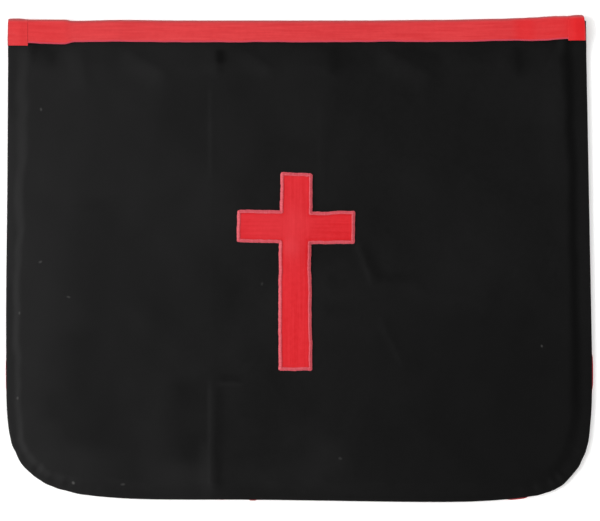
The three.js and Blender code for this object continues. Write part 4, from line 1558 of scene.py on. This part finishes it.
    def build_border(self, material: Material) -> Piece:
        """Carries a low dome along the outline, ribbed by its stitches.

        Across, the height is border_rise × √(1 − t²) to the dome_power, with t from
        −1 outside to 1 inside. Along, each stitch stands up as |sin(π × length / pitch)|.
        """
        path = self._path()
        ahead = np.roll(path, -1, axis=0) - np.roll(path, 1, axis=0)
        ahead /= np.linalg.norm(ahead, axis=1, keepdims=True)
        inward = np.stack([-ahead[:, 1], ahead[:, 0]], axis=-1)
        number = np.arange(len(path)) // self.stitch_steps
        phase = (np.arange(len(path)) % self.stitch_steps + 0.5) / self.stitch_steps
        draw = np.random.default_rng(self.stitch_seed)
        count = int(number.max()) + 1
        reach = 1.0 + self.reach_uneven * draw.standard_normal(count)[number]
        stand = 1.0 + self.stand_uneven * draw.standard_normal(count)[number]
        across = np.array(self.section)
        dome = np.sqrt(np.clip(1.0 - across**2, 0.0, 1.0)) ** self.dome_power
        dome[-2:] = 0.0
        offset = self.border_width / 2.0 * across[:, None] * np.clip(reach, 0.85, 1.15)[None]
        reached = np.arange(len(path)) * self.stitch_pitch / self.stitch_steps
        offset = offset + self.wander_width * self.wander.along(reached)
        places = path[None] + inward[None] * offset[..., None]
        x, y = self.settle(places[..., 0], places[..., 1])
        rib = self.stitch_depth * np.sin(np.pi * phase)[None] * np.minimum(1.0, 2.0 * dome)[:, None]
        step = smoothstep(across, -0.5, 0.3)[:, None] * (self.ply + self.crown / 2.0)
        ground = self.lay.middle_top(x, y) + self.lay.gap
        rise = self.border_rise * stand[None] * dome[:, None]
        under = np.zeros(len(across))
        under[-2:] = self.sunk
        z = ground + step + rise + rib - under[:, None]
        points = np.stack([x, y, z], axis=-1)
        uv = np.stack(np.broadcast_arrays(reached[None], across[:, None]), axis=-1)
        faces = grid_faces(len(across), len(path), closed=True)[:, ::-1]
        piece = make_piece("cross_border_stitched", points, faces, uv)
        dress(piece, material, "cross_border")
        return piece


# Floor, light and camera


@dataclass
class Studio:
    """A pale floor, soft light from the left, and a camera straight above."""

    view_width: float = 414.8 * MM
    view_centre: tuple[float, float] = (0.54 * MM, -1.03 * MM)
    focus_level: float = 3.0 * MM
    lens: float = 150.0
    sensor: float = 36.0
    floor_size: float = 6.0
    floor_glow: float = 0.12
    overhead: float = 0.28
    around: float = 1.3
    key: float = 220.0
    key_place: tuple[float, float, float] = (-4.4, 0.1, 3.0)
    key_size: float = 3.6
    gloss: float = 132.0
    gloss_place: tuple[float, float, float] = (-2.1, -0.7, 1.5)
    gloss_size: float = 1.3

    def build(self) -> None:
        """Sets the floor, the lights, the world and the camera."""
        self._floor()
        self._lamp("key", self.key, self.key_size, self.key_place)
        gloss = self._lamp("gloss", self.gloss, self.gloss_size, self.gloss_place)
        gloss.visible_diffuse = False
        self._world()
        self._camera()
        scene = bpy.context.scene
        scene.view_settings.view_transform = "Standard"
        scene.view_settings.look = "None"

    def _floor(self) -> None:
        """A plain pale floor, glowing a little as a lit table does."""
        half = self.floor_size / 2.0
        corners = np.array([(-half, half, 0.0), (-half, -half, 0.0), (half, -half, 0.0), (half, half, 0.0)])
        floor = make_piece("floor", corners, np.array([[0, 1, 2, 3]]))
        surface = Surface(
            "pale_floor",
            Base_Color=(0.96, 0.96, 0.955, 1.0),
            Roughness=0.9,
            Specular_IOR_Level=0.1,
            Emission_Color=(1.0, 1.0, 1.0, 1.0),
            Emission_Strength=self.floor_glow,
        )
        floor.data.materials.append(surface.material)

    def _lamp(
        self, name: str, power: float, size: float, place: tuple[float, float, float]
    ) -> Piece:
        """A soft round light, aimed at the apron's middle."""
        light = bpy.data.lights.new(name, "AREA")
        light.shape = "DISK"
        light.size = size
        light.energy = power
        lamp = bpy.data.objects.new(name, light)
        bpy.context.scene.collection.objects.link(lamp)
        lamp.location = place
        x, y, z = place
        lamp.rotation_euler = (math.atan2(math.hypot(x, y), z), 0.0, math.atan2(y, x) + math.pi / 2.0)
        return lamp

    def _world(self) -> None:
        """White light from all round, least from straight above.

        Its strength is overhead + around × (1 − z²), z being the height of a
        direction from 0 at the horizon to 1 above.
        """
        world = bpy.data.worlds.new("studio")
        world.use_nodes = True
        nodes = Nodes(world.node_tree)
        background = world.node_tree.nodes["Background"].inputs
        parts = nodes.parts(nodes.add("ShaderNodeTexCoord").outputs["Generated"])
        low = nodes.math("SUBTRACT", 1.0, nodes.math("POWER", parts["Z"], 2.0))
        strength = nodes.math("MULTIPLY_ADD", low, self.around, self.overhead)
        nodes.wire(background, Strength=strength, Color=(1.0, 1.0, 1.0, 1.0))
        bpy.context.scene.world = world

    def _camera(self) -> None:
        """A long lens straight above, framing the photograph's width."""
        camera = bpy.data.cameras.new("camera")
        camera.lens = self.lens
        camera.sensor_width = self.sensor
        camera.clip_end = 20.0
        stand = bpy.data.objects.new("camera", camera)
        bpy.context.scene.collection.objects.link(stand)
        distance = self.view_width * self.lens / self.sensor
        stand.location = (*self.view_centre, self.focus_level + distance)
        bpy.context.scene.camera = stand


def main() -> None:
    """Builds the apron's pieces in order and reports each."""
    logging.basicConfig(level=logging.INFO, format="%(name)s: %(message)s")
    Studio().build()
    groups = Groups(weave_group(), wear_group(), streak_group(), lint_group())
    lay = Lay()
    band, cross, ribbon = Waistband(lay), Cross(lay), RED_RIBBON.build(groups)
    built = (
        BackCloth(lay).build(RED_BACKING.build(groups)),
        FaceCloth(lay).build(BLACK_CLOTH.build(groups)),
        band.build(ribbon),
        EndTab(band, Side.LEFT, width=14 * MM, drop=1.65 * MM).build(ribbon),
        EndTab(band, Side.RIGHT, width=12 * MM, drop=0.95 * MM).build(ribbon),
        cross.build_cloth(CROSS_CLOTH.build(groups)),
        cross.build_border(BORDER_THREAD.build(groups)),
    )
    for piece in built:
        LOG.info("%s: %d quads", piece.name, len(piece.data.polygons))


if __name__ == "__main__":
    main()
